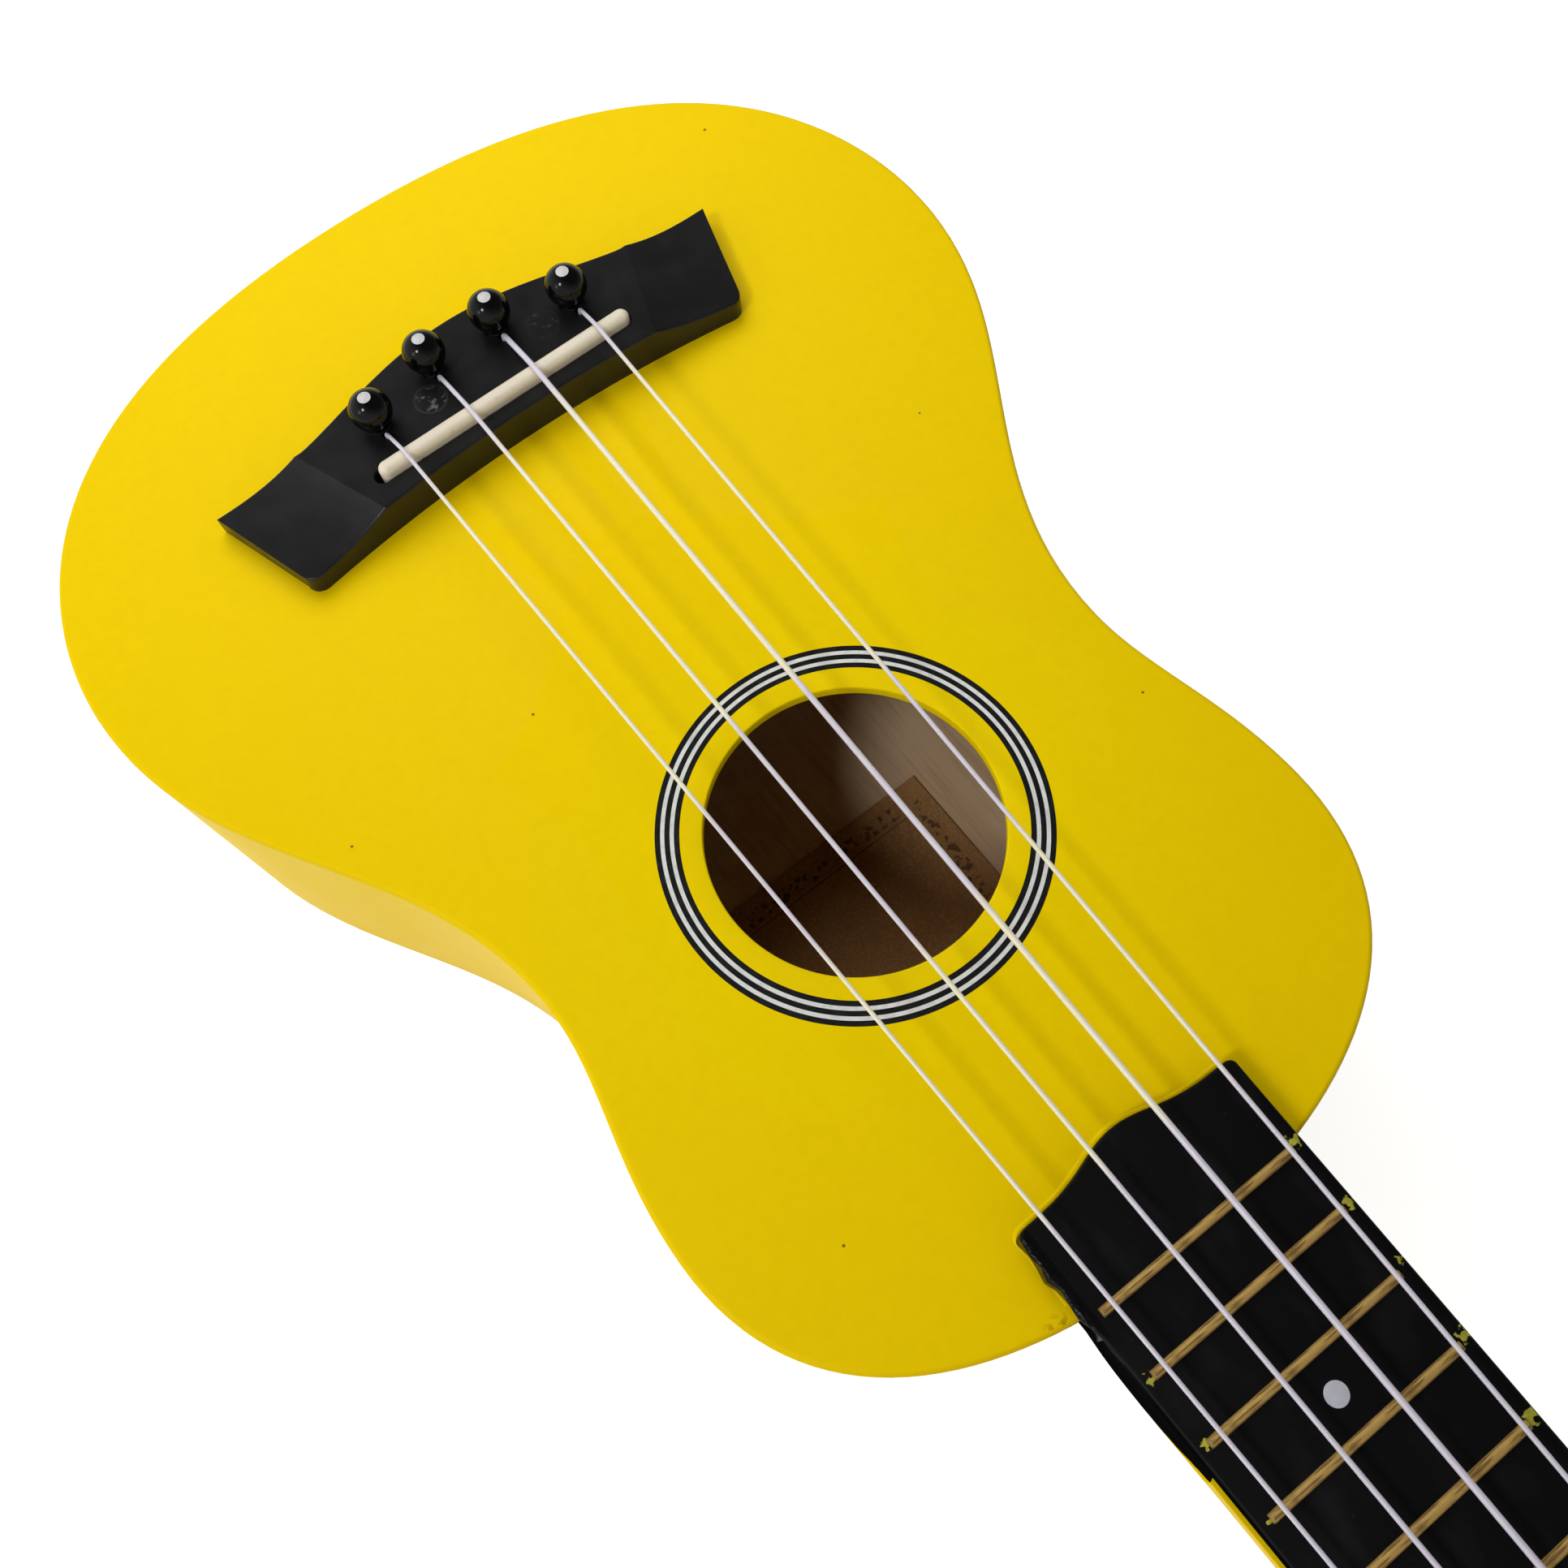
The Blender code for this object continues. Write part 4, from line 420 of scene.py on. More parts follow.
def bezier(p0, p1, p2, p3, steps):
    """Points along a cubic curve, without its last."""
    points = []
    for step in range(steps):
        t = step / steps
        s = 1 - t
        points.append(tuple(s ** 3 * a + 3 * s * s * t * b + 3 * s * t * t * c + t ** 3 * d
                            for a, b, c, d in zip(p0, p1, p2, p3)))
    return points


def smooth_run(stations, steps):
    """More stations on a smooth curve through the given ones."""
    run = [stations[0], *stations, stations[-1]]
    made = []
    for p0, p1, p2, p3 in zip(run, run[1:], run[2:], run[3:]):
        for step in range(steps):
            t = step / steps
            made.append(tuple(0.5 * (2 * b + (c - a) * t + (2 * a - 5 * b + 4 * c - d) * t * t
                                     + (3 * b - a - 3 * c + d) * t ** 3)
                              for a, b, c, d in zip(p0, p1, p2, p3)))
    return made + [stations[-1]]


def inset(outline, distance):
    """A closed outline moved inwards, with its corners mitred. It runs anticlockwise."""
    shrunk = []
    for index, point in enumerate(outline):
        here = Vector(point)
        before = (here - Vector(outline[index - 1])).normalized()
        after = (Vector(outline[(index + 1) % len(outline)]) - here).normalized()
        inward_a = Vector((-before.y, before.x))
        inward_b = Vector((-after.y, after.x))
        mitre = (inward_a + inward_b) / (1 + inward_a.dot(inward_b))
        shrunk.append(tuple(here + mitre * distance))
    return shrunk


def round_levels(face, radius, steps, inward):
    """(inset, height) pairs up a quarter round that starts at a face."""
    pairs = [(radius * (1 - s), face + inward * radius * (1 - c))
             for c, s in arc(0, math.pi / 2, steps)]
    return pairs if inward > 0 else pairs[::-1]


def rounded_slab(outline, low, high, low_round, high_round, steps=5):
    """An extruded outline with its lower or upper rim rounded over."""
    levels = [(0.0, low)]
    if low_round:
        levels = round_levels(low, low_round, steps, 1)
    levels += round_levels(high, high_round, steps, -1) if high_round else [(0.0, high)]
    return loft([[(x, y, height) for x, y in (inset(outline, distance) if distance else outline)]
                 for distance, height in levels])


def ribbon(outer, inner, low, high):
    """A wall between two lines that run side by side, from one height to another."""
    return loft([[(*o, low), (*o, high), (*i, high), (*i, low)] for o, i in zip(outer, inner)])


def moved(form, matrix):
    return [matrix @ Vector(point) for point in form[0]], form[1]


# Meshes and pieces

def mesh_of(form, name="form"):
    """A mesh of a form, with its faces pointing out."""
    work = bmesh.new()
    corners = [work.verts.new(point) for point in form[0]]
    for face in form[1]:
        work.faces.new([corners[index] for index in face])
    bmesh.ops.recalc_face_normals(work, faces=work.faces)
    mesh = bpy.data.meshes.new(name)
    work.to_mesh(mesh)
    work.free()
    return mesh


def worked(form, *steps):
    """The mesh that comes of a form after (operation, form) Boolean steps."""
    shown = [bpy.data.objects.new("work", mesh_of(part)) for part in
             (form, *(other for _, other in steps))]
    for item in shown:
        bpy.context.scene.collection.objects.link(item)
    for (operation, _), other in zip(steps, shown[1:]):
        cut = shown[0].modifiers.new("step", "BOOLEAN")
        cut.operation = operation
        cut.solver = "EXACT"
        cut.object = other
    bpy.context.view_layer.update()
    graph = bpy.context.evaluated_depsgraph_get()
    made = bpy.data.meshes.new_from_object(shown[0].evaluated_get(graph))
    for item in shown:
        bpy.data.objects.remove(item, do_unlink=True)
    return made


def cut_all(*forms):
    return [("DIFFERENCE", form) for form in forms]


def piece(name, shape, finish, body="root", matrix=None, node=None, bevel=0.0, paint=None,
          smooth=38):
    """Show a form or mesh as a piece that rides on a body and may stand for a node.

    finish is a slot's name; paint(face) gives another slot's name for a face, or None.
    """
    mesh = mesh_of(shape, name) if isinstance(shape, tuple) else shape
    shown = bpy.data.objects.new(name, mesh)
    bpy.context.scene.collection.objects.link(shown)
    if not mesh.materials:
        mesh.materials.append(FINISHES[finish])
        for polygon in mesh.polygons if paint else ():
            other = FINISHES[paint(polygon) or finish]
            if other.name not in mesh.materials:
                mesh.materials.append(other)
            polygon.material_index = mesh.materials.find(other.name)
    mesh.shade_smooth()
    mesh.set_sharp_from_angle(angle=math.radians(smooth))
    if bevel:
        rounding = shown.modifiers.new("edge_round", "BEVEL")
        rounding.width = bevel
        rounding.segments = 2
        rounding.limit_method = "ANGLE"
        rounding.angle_limit = math.radians(smooth)
        rounding.harden_normals = True
    if matrix is not None:
        shown.matrix_world = matrix
    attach(shown, body)
    if node:
        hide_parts(node)


def fine(node, shape, finish, *place, **looks):
    """The finer form that stands for a node."""
    piece(f"{node}_fine", shape, finish, *place, node=node, **looks)


# Finishes

def screen(red, green, blue):
    """A colour as a screen shows it, 0 to 255, in the renderer's linear values."""
    def linear(value):
        share = value / 255
        return share / 12.92 if share <= 0.04045 else ((share + 0.055) / 1.055) ** 2.4
    return (linear(red), linear(green), linear(blue), 1.0)


def add_node(tree, kind, inputs, output=0, **settings):
    """One output of a new node, whose inputs are values or other nodes' outputs."""
    made = tree.nodes.new(kind)
    for key, value in settings.items():
        setattr(made, key, value)
    for key, value in inputs.items():
        if isinstance(value, bpy.types.NodeSocket):
            tree.links.new(value, made.inputs[key])
        else:
            made.inputs[key].default_value = value
    return made.outputs[output]


class Finish:
    """A material whose nodes read the piece's own coordinates, in metres."""

    def __init__(self, name, roughness, metallic=0.0, specular=0.5):
        self.material = bpy.data.materials.new(name)
        self.material.use_nodes = True
        self.tree = self.material.node_tree
        self.shader = self.tree.nodes["Principled BSDF"]
        self.shader.inputs["Roughness"].default_value = roughness
        self.shader.inputs["Metallic"].default_value = metallic
        self.shader.inputs["Specular IOR Level"].default_value = specular
        self.where = self.node("ShaderNodeTexCoord", {}, "Object")
        self.colour = None
        self.normal = None

    def node(self, kind, inputs, output=0, **settings):
        return add_node(self.tree, kind, inputs, output, **settings)

    def noise(self, size, detail=3.0, stretch=(1.0, 1.0, 1.0), seed=0.0):
        """Cloudy noise from 0 to 1 whose patches are about one size, or stretched along an axis."""
        scale = tuple(1 / (size * share) for share in stretch)
        placed = self.node("ShaderNodeMapping", {0: self.where, 1: (seed, seed, seed), 3: scale})
        return self.node("ShaderNodeTexNoise", {"Vector": placed, "Scale": 1.0, "Detail": detail})

    def span(self, value, low, high, to_low=0.0, to_high=1.0):
        return self.node("ShaderNodeMapRange", {0: value, 1: low, 2: high, 3: to_low, 4: to_high})

    def maths(self, operation, first, second=0.0):
        return self.node("ShaderNodeMath", {0: first, 1: second}, operation=operation)

    def times(self, first, second):
        return self.maths("MULTIPLY", first, second)

    def off(self, value, centre):
        """How far a value is from another, either way."""
        return self.maths("ABSOLUTE", self.maths("SUBTRACT", value, centre))

    def axis(self, index):
        return self.node("ShaderNodeSeparateXYZ", {0: self.where}, index)

    def distance(self, point):
        return self.node("ShaderNodeVectorMath", {0: self.where, 1: point}, 1, operation="DISTANCE")

    def mix(self, share, first, second):
        return self.node("ShaderNodeMix", {0: share, 6: first, 7: second}, 2, data_type="RGBA")

    def blend(self, share, first, second):
        """The colour, from one screen colour to another."""
        self.colour = self.mix(share, screen(*first), screen(*second))

    def tint(self, share, *shade):
        """A screen colour laid over the colour so far."""
        self.colour = self.mix(share, self.colour, screen(*shade))

    def relief(self, height, depth):
        """Bumps of that depth in metres, on top of any made before."""
        inputs = {"Height": height, "Distance": depth, "Strength": 1.0}
        if self.normal:
            inputs["Normal"] = self.normal
        self.normal = self.node("ShaderNodeBump", inputs)

    def roughen(self, roughness):
        self.tree.links.new(roughness, self.shader.inputs["Roughness"])

    def done(self):
        self.tree.links.new(self.colour, self.shader.inputs["Base Color"])
        if self.normal:
            self.tree.links.new(self.normal, self.shader.inputs["Normal"])
        return self.material


def yellow_paint(name, specular):
    """Satin paint: faintly clouded, with a few specks and a worn patch beside the fingerboard."""
    paint = Finish(name, 0.46, specular=specular)
    to_hole = paint.span(paint.distance((0.0, SOUNDHOLE_Y, BODY_DEPTH)), 0.060, 0.028)
    paint.blend(to_hole, (244, 207, 0), (243, 212, 0))
    paint.tint(paint.span(paint.noise(0.040, 2.0), 0.35, 0.65, 0.0, 0.25), 238, 204, 0)
    paint.tint(paint.span(paint.noise(0.0019, 4.0), 0.40, 0.72, 0.0, 0.30), 235, 199, 0)
    for place, radius in SPECKS:
        paint.tint(paint.span(paint.distance(place), radius, radius * 0.5), 120, 96, 24)
    chips = paint.span(paint.noise(0.0011, 4.0), 0.50, 0.58)
    near = paint.span(paint.distance(WORN_PATCH), WORN_RADIUS, WORN_RADIUS * 0.45)
    worn = paint.times(chips, near)
    paint.tint(paint.times(worn, 0.75), 170, 130, 10)
    paint.relief(paint.noise(0.0042, 2.0), 0.0000060)
    paint.relief(paint.noise(0.0006, 2.0), 0.0000012)
    paint.relief(worn, -0.00004)
    paint.roughen(paint.span(paint.noise(0.012, 4.0), 0.3, 0.7, 0.42, 0.50))
    return paint


def yellow_neck(name, specular):
    """The same paint, under the board's black that ran down on the treble side beside the body."""
    paint = yellow_paint(name, specular)
    wander = paint.span(paint.noise(0.004, 2.0), 0.0, 1.0, -0.002, 0.002)
    along = paint.maths("ADD", paint.axis(1), wander)
    slope = paint.span(along, BLACK_RUN[0], BLACK_RUN[1], BLACK_RUN_SLOPE, 0.0)
    reach = paint.maths("MINIMUM", slope, BLACK_RUN_DEPTH)
    above = paint.maths("GREATER_THAN", paint.axis(2), paint.maths("SUBTRACT", BODY_DEPTH, reach))
    on_side = paint.maths("GREATER_THAN", paint.axis(0))
    before = paint.maths("LESS_THAN", along, BLACK_RUN[1])
    paint.tint(paint.times(paint.times(above, on_side), before), 12, 12, 13)
    return paint.done()


def plain_print(name, colour, edge_colour):
    """A printed ring of the rosette, a little uneven like any print."""
    ink = Finish(name, 0.42, specular=0.3)
    ink.blend(ink.span(ink.noise(0.0012, 4.0), 0.45, 0.75), colour, edge_colour)
    ink.relief(ink.noise(0.0008, 2.0), 0.0000015)
    return ink.done()


def bare_wood():
    """Unfinished pale wood whose grain runs along the body."""
    wood = Finish("bare_wood", 0.75, specular=0.15)
    long_grain = (1.0, 16.0, 1.0)
    wood.blend(wood.noise(0.0032, 4.0, long_grain), (236, 209, 172), (206, 173, 134))
    wood.tint(wood.span(wood.noise(0.0009, 3.0, long_grain), 0.52, 0.80, 0.0, 0.4), 164, 126, 90)
    wood.relief(wood.noise(0.0006, 3.0, long_grain), 0.00003)
    return wood.done()


def label_paper():
    """Aged paper with a plain border of leafy blotches and nothing printed inside it."""
    paper = Finish("label_paper", 0.85, specular=0.2)
    paper.blend(paper.noise(0.010, 4.0), (188, 140, 86), (150, 106, 60))
    paper.tint(paper.span(paper.noise(0.0005, 3.0), 0.45, 0.75), 190, 152, 108)
    middle = (LABEL_LOW + LABEL_HIGH) / 2
    half = (LABEL_HIGH - LABEL_LOW) / 2
    margins = [paper.maths("SUBTRACT", half[index], paper.off(paper.axis(index), middle[index]))
               for index in (0, 1)]
    from_edge = paper.maths("MINIMUM", margins[1], margins[0])
    leaves = paper.node("ShaderNodeTexVoronoi", {"Vector": paper.where, "Scale": 620.0})
    leaf = paper.span(paper.maths("ADD", leaves, paper.noise(0.0007, 3.0)), 0.98, 0.84, 0.0, 0.75)
    inside = paper.times(paper.span(from_edge, LABEL_BAND[0] - LABEL_BAND_BLUR, LABEL_BAND[0]),
                         paper.span(from_edge, LABEL_BAND[1], LABEL_BAND[1] - LABEL_BAND_BLUR))
    paper.tint(paper.times(leaf, inside), 74, 52, 36)
    off_line = paper.off(from_edge, LABEL_LINE[0])
    paper.tint(paper.span(off_line, LABEL_LINE[1], LABEL_LINE[1] * 0.6, 0.0, 0.6), 84, 58, 36)
    paper.relief(paper.noise(0.0009, 3.0), 0.00004)
    return paper.done()


def board_black(name, specular):
    """Brushed-on black paint on the fingerboard, smudged by fingers and wet-looking by the body."""
    paint = Finish(name, 0.50, specular=specular)
    smudge = paint.span(paint.noise(0.006, 5.0, (1.0, 2.2, 1.0)), 0.52, 0.80)
    paint.blend(smudge, (11, 11, 12), (24, 24, 26))
    paint.tint(paint.span(paint.noise(0.0007, 2.0), 0.72, 0.80, 0.0, 0.30), 56, 54, 52)
    paint.relief(paint.noise(0.0016, 3.0, (1.0, 3.0, 1.0)), 0.00003)
    dab(paint)
    edge = BOARD_WIDTH_AT_TWELFTH / 2
    wet = paint.times(paint.span(paint.axis(0), edge - 0.0012, edge - 0.0004),
                      paint.span(paint.axis(1), NECK_JOINT_Y + 0.003, NECK_JOINT_Y - 0.001))
    paint.relief(paint.times(wet, paint.noise(0.0018, 3.0)), 0.00045)
    paint.roughen(paint.span(wet, 0.0, 1.0, 0.54, 0.26))
    return paint.done()


def dab(finish):
    """Dried dabs of the body's yellow just outside the ends of some frets."""
    ragged = finish.span(finish.noise(0.0011, 4.0), 0.34, 0.66, -DAB_SIZE, DAB_SIZE)
    tint = finish.mix(finish.noise(0.0005, 3.0), screen(214, 208, 70), screen(112, 112, 48))
    for number, hand, size, beyond, along in PAINT_DABS:
        y = fret_y(number)
        across = hand * (board_half_width(y) - FRET_INSET + beyond)
        off = finish.maths("ADD", finish.distance((across, y + along, BOARD_TOP_Z)), ragged)
        finish.colour = finish.mix(finish.span(off, size, size * 0.7), finish.colour, tint)


def moulded_black(name, roughness, level, grain, specular):
    """Black moulded plastic with a fine grain and slight handling marks."""
    plastic = Finish(name, roughness, specular=specular)
    wear = plastic.span(plastic.noise(0.007, 5.0), 0.45, 0.80)
    plastic.blend(wear, (level, level, level + 1), (level + 9, level + 9, level + 9))
    if grain:
        plastic.relief(plastic.noise(0.0005, 2.0), grain)
    handled = plastic.noise(0.004, 5.0)
    plastic.roughen(plastic.span(handled, 0.4, 0.7, roughness * 0.9, roughness * 1.25))
    return plastic


def bridge_black():
    """Satin black, with the faint rings that its ejector pins left on the top."""
    plastic = moulded_black("bridge_black", 0.33, 21, 0.000006, 0.35)
    scratch = plastic.span(plastic.noise(0.0009, 6.0, (1.6, 1.0, 1.0), 4.0), 0.57, 0.66, 0.0, 0.8)
    for across, along, strength in EJECTOR_MARKS:
        off = plastic.distance((across, SADDLE_Y + along, BRIDGE_TOP_Z))
        ring = plastic.off(off, EJECTOR_RADIUS)
        line = plastic.span(ring, EJECTOR_LINE, EJECTOR_LINE * 0.3, 0.0, strength)
        inside = plastic.span(off, EJECTOR_RADIUS, EJECTOR_RADIUS * 0.9, 0.0, strength)
        marks = plastic.times(inside, scratch)
        faint = plastic.times(line, 0.10)
        plastic.tint(plastic.maths("MAXIMUM", marks, faint), 104, 104, 106)
        plastic.relief(plastic.maths("MAXIMUM", faint, marks), -0.00003)
    return plastic.done()


def ivory_plastic():
    ivory = Finish("ivory_plastic", 0.32, specular=0.4)
    ivory.blend(ivory.noise(0.006, 4.0), (233, 224, 204), (222, 209, 184))
    ivory.tint(ivory.span(ivory.noise(0.0012, 4.0), 0.58, 0.80, 0.0, 0.5), 196, 178, 146)
    ivory.relief(ivory.noise(0.0007, 2.0), 0.000008)
    return ivory.done()


def marker_white():
    pearl = Finish("marker_white", 0.28, specular=0.4)
    pearl.blend(pearl.noise(0.0016, 3.0), (203, 203, 213), (184, 184, 196))
    pearl.relief(pearl.noise(0.0009, 2.0), 0.000008)
    return pearl.done()


def fret_gold():
    """Gold-tan bars with brown streaks along them, a band of painted shade along the side towards
    the head, tarnished at the edges.
    """
    gold = Finish("fret_gold", 0.42, metallic=0.25, specular=0.4)
    along = (14.0, 1.0, 1.0)
    gold.blend(gold.noise(0.0012, 3.0), (204, 168, 94), (178, 142, 74))
    gold.tint(gold.span(gold.noise(0.00032, 4.0, along), 0.50, 0.62, 0.0, 0.8), 106, 76, 38)
    # Painted shade: a darker brown band along each bar's side towards the head, standing in for the
    # shadow side of the dome.
    gold.tint(gold.span(gold.axis(1), FRET_WIDTH * 0.22, FRET_WIDTH * 0.42, 0.0, 0.75), 104, 74, 36)
    fret_end = BOARD_WIDTH_AT_TWELFTH / 2 - FRET_INSET
    end = gold.span(gold.maths("ABSOLUTE", gold.axis(0)), fret_end - 0.0016, fret_end)
    gold.tint(gold.times(end, gold.noise(0.0006, 3.0)), 70, 62, 30)
    gold.relief(gold.noise(0.0003, 3.0, along), 0.00004)
    return gold.done()


def nylon():
    """Milky nylon, a little uneven along its length, with a painted warm reflection where the
    yellow body lights it.
    """
    clear = Finish("nylon", 0.30, specular=0.45)
    clear.blend(clear.noise(0.0030, 4.0), (226, 220, 230), (206, 199, 212))
    along = clear.axis(1)
    bridge_y = SADDLE_Y + BRIDGE_FRONT
    board_y = NECK_JOINT_Y - BOARD_OVER_BODY
    from_bridge = clear.span(along, bridge_y, bridge_y + 0.012)
    to_board = clear.span(along, board_y + 0.002, board_y - 0.004)
    off_hole = clear.span(clear.distance((0.0, SOUNDHOLE_Y, BODY_DEPTH)),
                          SOUNDHOLE_RADIUS - 0.001, SOUNDHOLE_RADIUS + 0.004)
    # Painted reflection: a warm cream tint on the strings between the bridge and the board, away
    # from the soundhole, for the light of the yellow body.
    clear.tint(clear.times(from_bridge, clear.times(to_board, off_hole)), 240, 234, 206)
    clear.roughen(clear.span(clear.noise(0.0020, 3.0), 0.3, 0.7, 0.26, 0.36))
    return clear.done()


def polished(name, bright, dull, roughness):
    """Plated or bare metal, with fine scratches and duller patches."""
    metal = Finish(name, roughness, metallic=1.0)
    tarnish = metal.span(metal.noise(0.004, 5.0), 0.45, 0.80)
    metal.blend(tarnish, bright, dull)
    metal.relief(metal.noise(0.00035, 3.0, (1.0, 6.0, 1.0)), 0.000004)
    metal.roughen(metal.span(tarnish, 0.0, 1.0, roughness, roughness * 1.7))
    return metal.done()


def make_finishes():
    return {
        "yellow_wood": yellow_paint("yellow_paint", YELLOW_SPECULAR).done(),
        "yellow_neck": yellow_neck("yellow_neck", YELLOW_SPECULAR),
        "neck_flank": yellow_neck("neck_flank", 0.0),
        "bare_wood": bare_wood(),
        "label_paper": label_paper(),
        "board_black": board_black("board_black", 0.10),
        "board_flank": board_black("board_flank", 0.0),
        "marker_white": marker_white(),
        "ivory_plastic": ivory_plastic(),
        "bridge_black": bridge_black(),
        "nylon": nylon(),
        "nickel": polished("nickel", (206, 205, 202), (166, 163, 157), 0.16),
        "brass": polished("brass", (214, 176, 106), (160, 122, 62), 0.22),
        "fret_gold": fret_gold(),
        "rosette_black": plain_print("rosette_black", (17, 18, 19), (30, 31, 32)),
        "rosette_white": plain_print("rosette_white", (226, 226, 222), (206, 206, 200)),
        "pin_dot": plain_print("pin_dot", (205, 205, 202), (180, 180, 176)),
        "pin_black": moulded_black("pin_black", 0.10, 6, 0.0, 0.20).done(),
        "button_black": moulded_black("button_black", 0.16, 11, 0.0, 0.20).done(),
    }


# The finishes' own sizes and places
SPECKS = (((0.0652, -0.1433, BODY_DEPTH), 0.00030), ((0.0293, -0.1441, BODY_DEPTH), 0.00032),
          ((-0.0511, -0.0849, BODY_DEPTH), 0.00030), ((-0.0656, -0.2249, BODY_DEPTH), 0.00036),
          ((-0.0569, -0.1491, BODY_DEPTH), 0.00026), ((0.0407, -0.0470, BODY_DEPTH), 0.00032))
YELLOW_SPECULAR = 0.05
BLACK_RUN = (NECK_JOINT_Y, NECK_JOINT_Y + 0.024)
BLACK_RUN_SLOPE = 0.021
BLACK_RUN_DEPTH = 0.0100
WORN_PATCH = (0.0236, -0.0189, BODY_DEPTH)
WORN_RADIUS = 0.0032
LABEL_BAND = (0.0026, 0.0054)
LABEL_BAND_BLUR = 0.0002
LABEL_LINE = (0.0062, 0.00018)
EJECTOR_MARKS = ((0.0104, -0.0078, 1.0), (-0.0137, -0.0082, 0.25))
EJECTOR_RADIUS = 0.0029
EJECTOR_LINE = 0.00030
DAB_SIZE = 0.0007
PAINT_DABS = ((12, -1, 0.00105, 0.0007, -0.0005), (11, -1, 0.00080, 0.0011, -0.0003),
              (10, -1, 0.00060, 0.0010, -0.0013), (9, -1, 0.00085, 0.0012, -0.0007),
              (8, -1, 0.00080, 0.0009, -0.0003), (11, 1, 0.00085, 0.0004, 0.0001),
              (10, 1, 0.00060, 0.0003, 0.0), (9, 1, 0.00050, 0.0004, 0.0002))
FINISHES = make_finishes()


# Body

def half_outline():
    """The right half of the body's outline, from the tail to the neck."""
    lower = LOWER_BOUT_WIDTH / 2
    waist = WAIST_WIDTH / 2
    upper = UPPER_BOUT_WIDTH / 2
    runs = (
        ((0, 0), (TAIL_ROUND, 0),
         (lower, TAIL_TO_LOWER_BOUT - LOWER_BOUT_TAIL_ROUND), (lower, TAIL_TO_LOWER_BOUT)),
        ((lower, TAIL_TO_LOWER_BOUT), (lower, TAIL_TO_LOWER_BOUT + LOWER_BOUT_WAIST_ROUND),
         (waist, TAIL_TO_WAIST - WAIST_TAIL_ROUND), (waist, TAIL_TO_WAIST)),
        ((waist, TAIL_TO_WAIST), (waist, TAIL_TO_WAIST + WAIST_NECK_ROUND),
         (upper, TAIL_TO_UPPER_BOUT - UPPER_BOUT_WAIST_ROUND), (upper, TAIL_TO_UPPER_BOUT)),
        ((upper, TAIL_TO_UPPER_BOUT), (upper, TAIL_TO_UPPER_BOUT + UPPER_BOUT_NECK_ROUND),
         (SHOULDER_ROUND, BODY_LENGTH), (0, BODY_LENGTH)),
    )
    points = []
    for run, steps in zip(runs, OUTLINE_STEPS):
        points += bezier(*run, steps)
    points.append((0, BODY_LENGTH))
    return [(x, TAIL_Y + distance) for x, distance in points]


def body_outline(distance=0.0):
    """The whole outline, anticlockwise from the tail, moved inwards by a distance."""
    right = half_outline()
    whole = right + [(-x, y) for x, y in reversed(right[1:-1])]
    return inset(whole, distance) if distance else whole


def right_half(distance):
    return body_outline(distance)[:len(half_outline())]


def soundboard_paint(face):
    """Rings of the rosette on top, and bare wood below."""
    if face.normal.z < -0.5:
        return "bare_wood"
    share = math.hypot(face.center.x, face.center.y - SOUNDHOLE_Y) / ROSETTE_RADIUS
    crossed = sum(share > edge for edge in ROSETTE_EDGES)
    if face.normal.z > 0.9 and 0 < crossed < len(ROSETTE_EDGES):
        return "rosette_black" if crossed % 2 else "rosette_white"
    return None


def make_soundboard():
    """One ring of faces after another, from under the soundhole's edge to under the outer edge."""
    centre = Vector((0.0, SOUNDHOLE_Y))
    ways = [(Vector(point) - centre).normalized() for point in body_outline()]

    def around(radius, height):
        return [(*(centre + way * radius), height) for way in ways]

    rings = [around(SOUNDHOLE_RADIUS, SOUNDBOARD_UNDER_Z)]
    for back, height in reversed(round_levels(BODY_DEPTH, SOUNDHOLE_EDGE, 3, -1)):
        rings.insert(1, around(SOUNDHOLE_RADIUS + back, height))
    rings += [around(ROSETTE_RADIUS * share, BODY_DEPTH) for share in ROSETTE_EDGES]
    for distance, height in reversed(round_levels(BODY_DEPTH, EDGE_ROUND, 6, -1)):
        rings.append([(x, y, height) for x, y in body_outline(distance)])
    rings.append([(x, y, SOUNDBOARD_UNDER_Z) for x, y in body_outline()])
    mesh = worked(loft(rings, loop=True), *cut_all(*pin_holes(), *string_slots()))
    fine("soundboard", mesh, "yellow_wood", paint=soundboard_paint)


def inside_is_bare(face):
    return "bare_wood" if face.normal.z > 0.5 else None


def make_back():
    slab = rounded_slab(body_outline(), 0.0, BACK_THICKNESS, EDGE_ROUND, 0.0)
    fine("back_plate", slab, "yellow_wood", paint=inside_is_bare)


def side_paint(face):
    """A side is a ribbon of four faces a step, of which the third lies inside."""
    return "bare_wood" if face.index % 4 == 2 else None


def make_sides():
    outer = right_half(SIDE_SHY)
    inner = right_half(SIDE_THICKNESS)
    low = BACK_THICKNESS - BEDDED
    high = SOUNDBOARD_UNDER_Z + BEDDED
    for name, hand in (("side_treble", 1), ("side_bass", -1)):
        lines = [[(hand * x, y) for x, y in line] for line in (outer, inner)]
        fine(name, ribbon(*lines, low, high), "yellow_wood", paint=side_paint)


def make_label():
    outline = rectangle(LABEL_HIGH.x - LABEL_LOW.x, LABEL_HIGH.y - LABEL_LOW.y,
                        (LABEL_HIGH.y + LABEL_LOW.y) / 2)
    sheet = prism(outline, LABEL_LOW.z - CLEARANCE, LABEL_HIGH.z - CLEARANCE / 2)
    fine("label", sheet, "label_paper")


def dress_inner_wood():
    """The blocks, linings, braces and bridge plate keep their CAD shape."""
    for name, node in frame["nodes"].items():
        if any(word in name for word in ("block", "lining", "brace", "bridge_plate")):
            for material_slot in node.material_slots:
                material_slot.material = FINISHES["bare_wood"]


# Fingerboard, frets, markers and nut

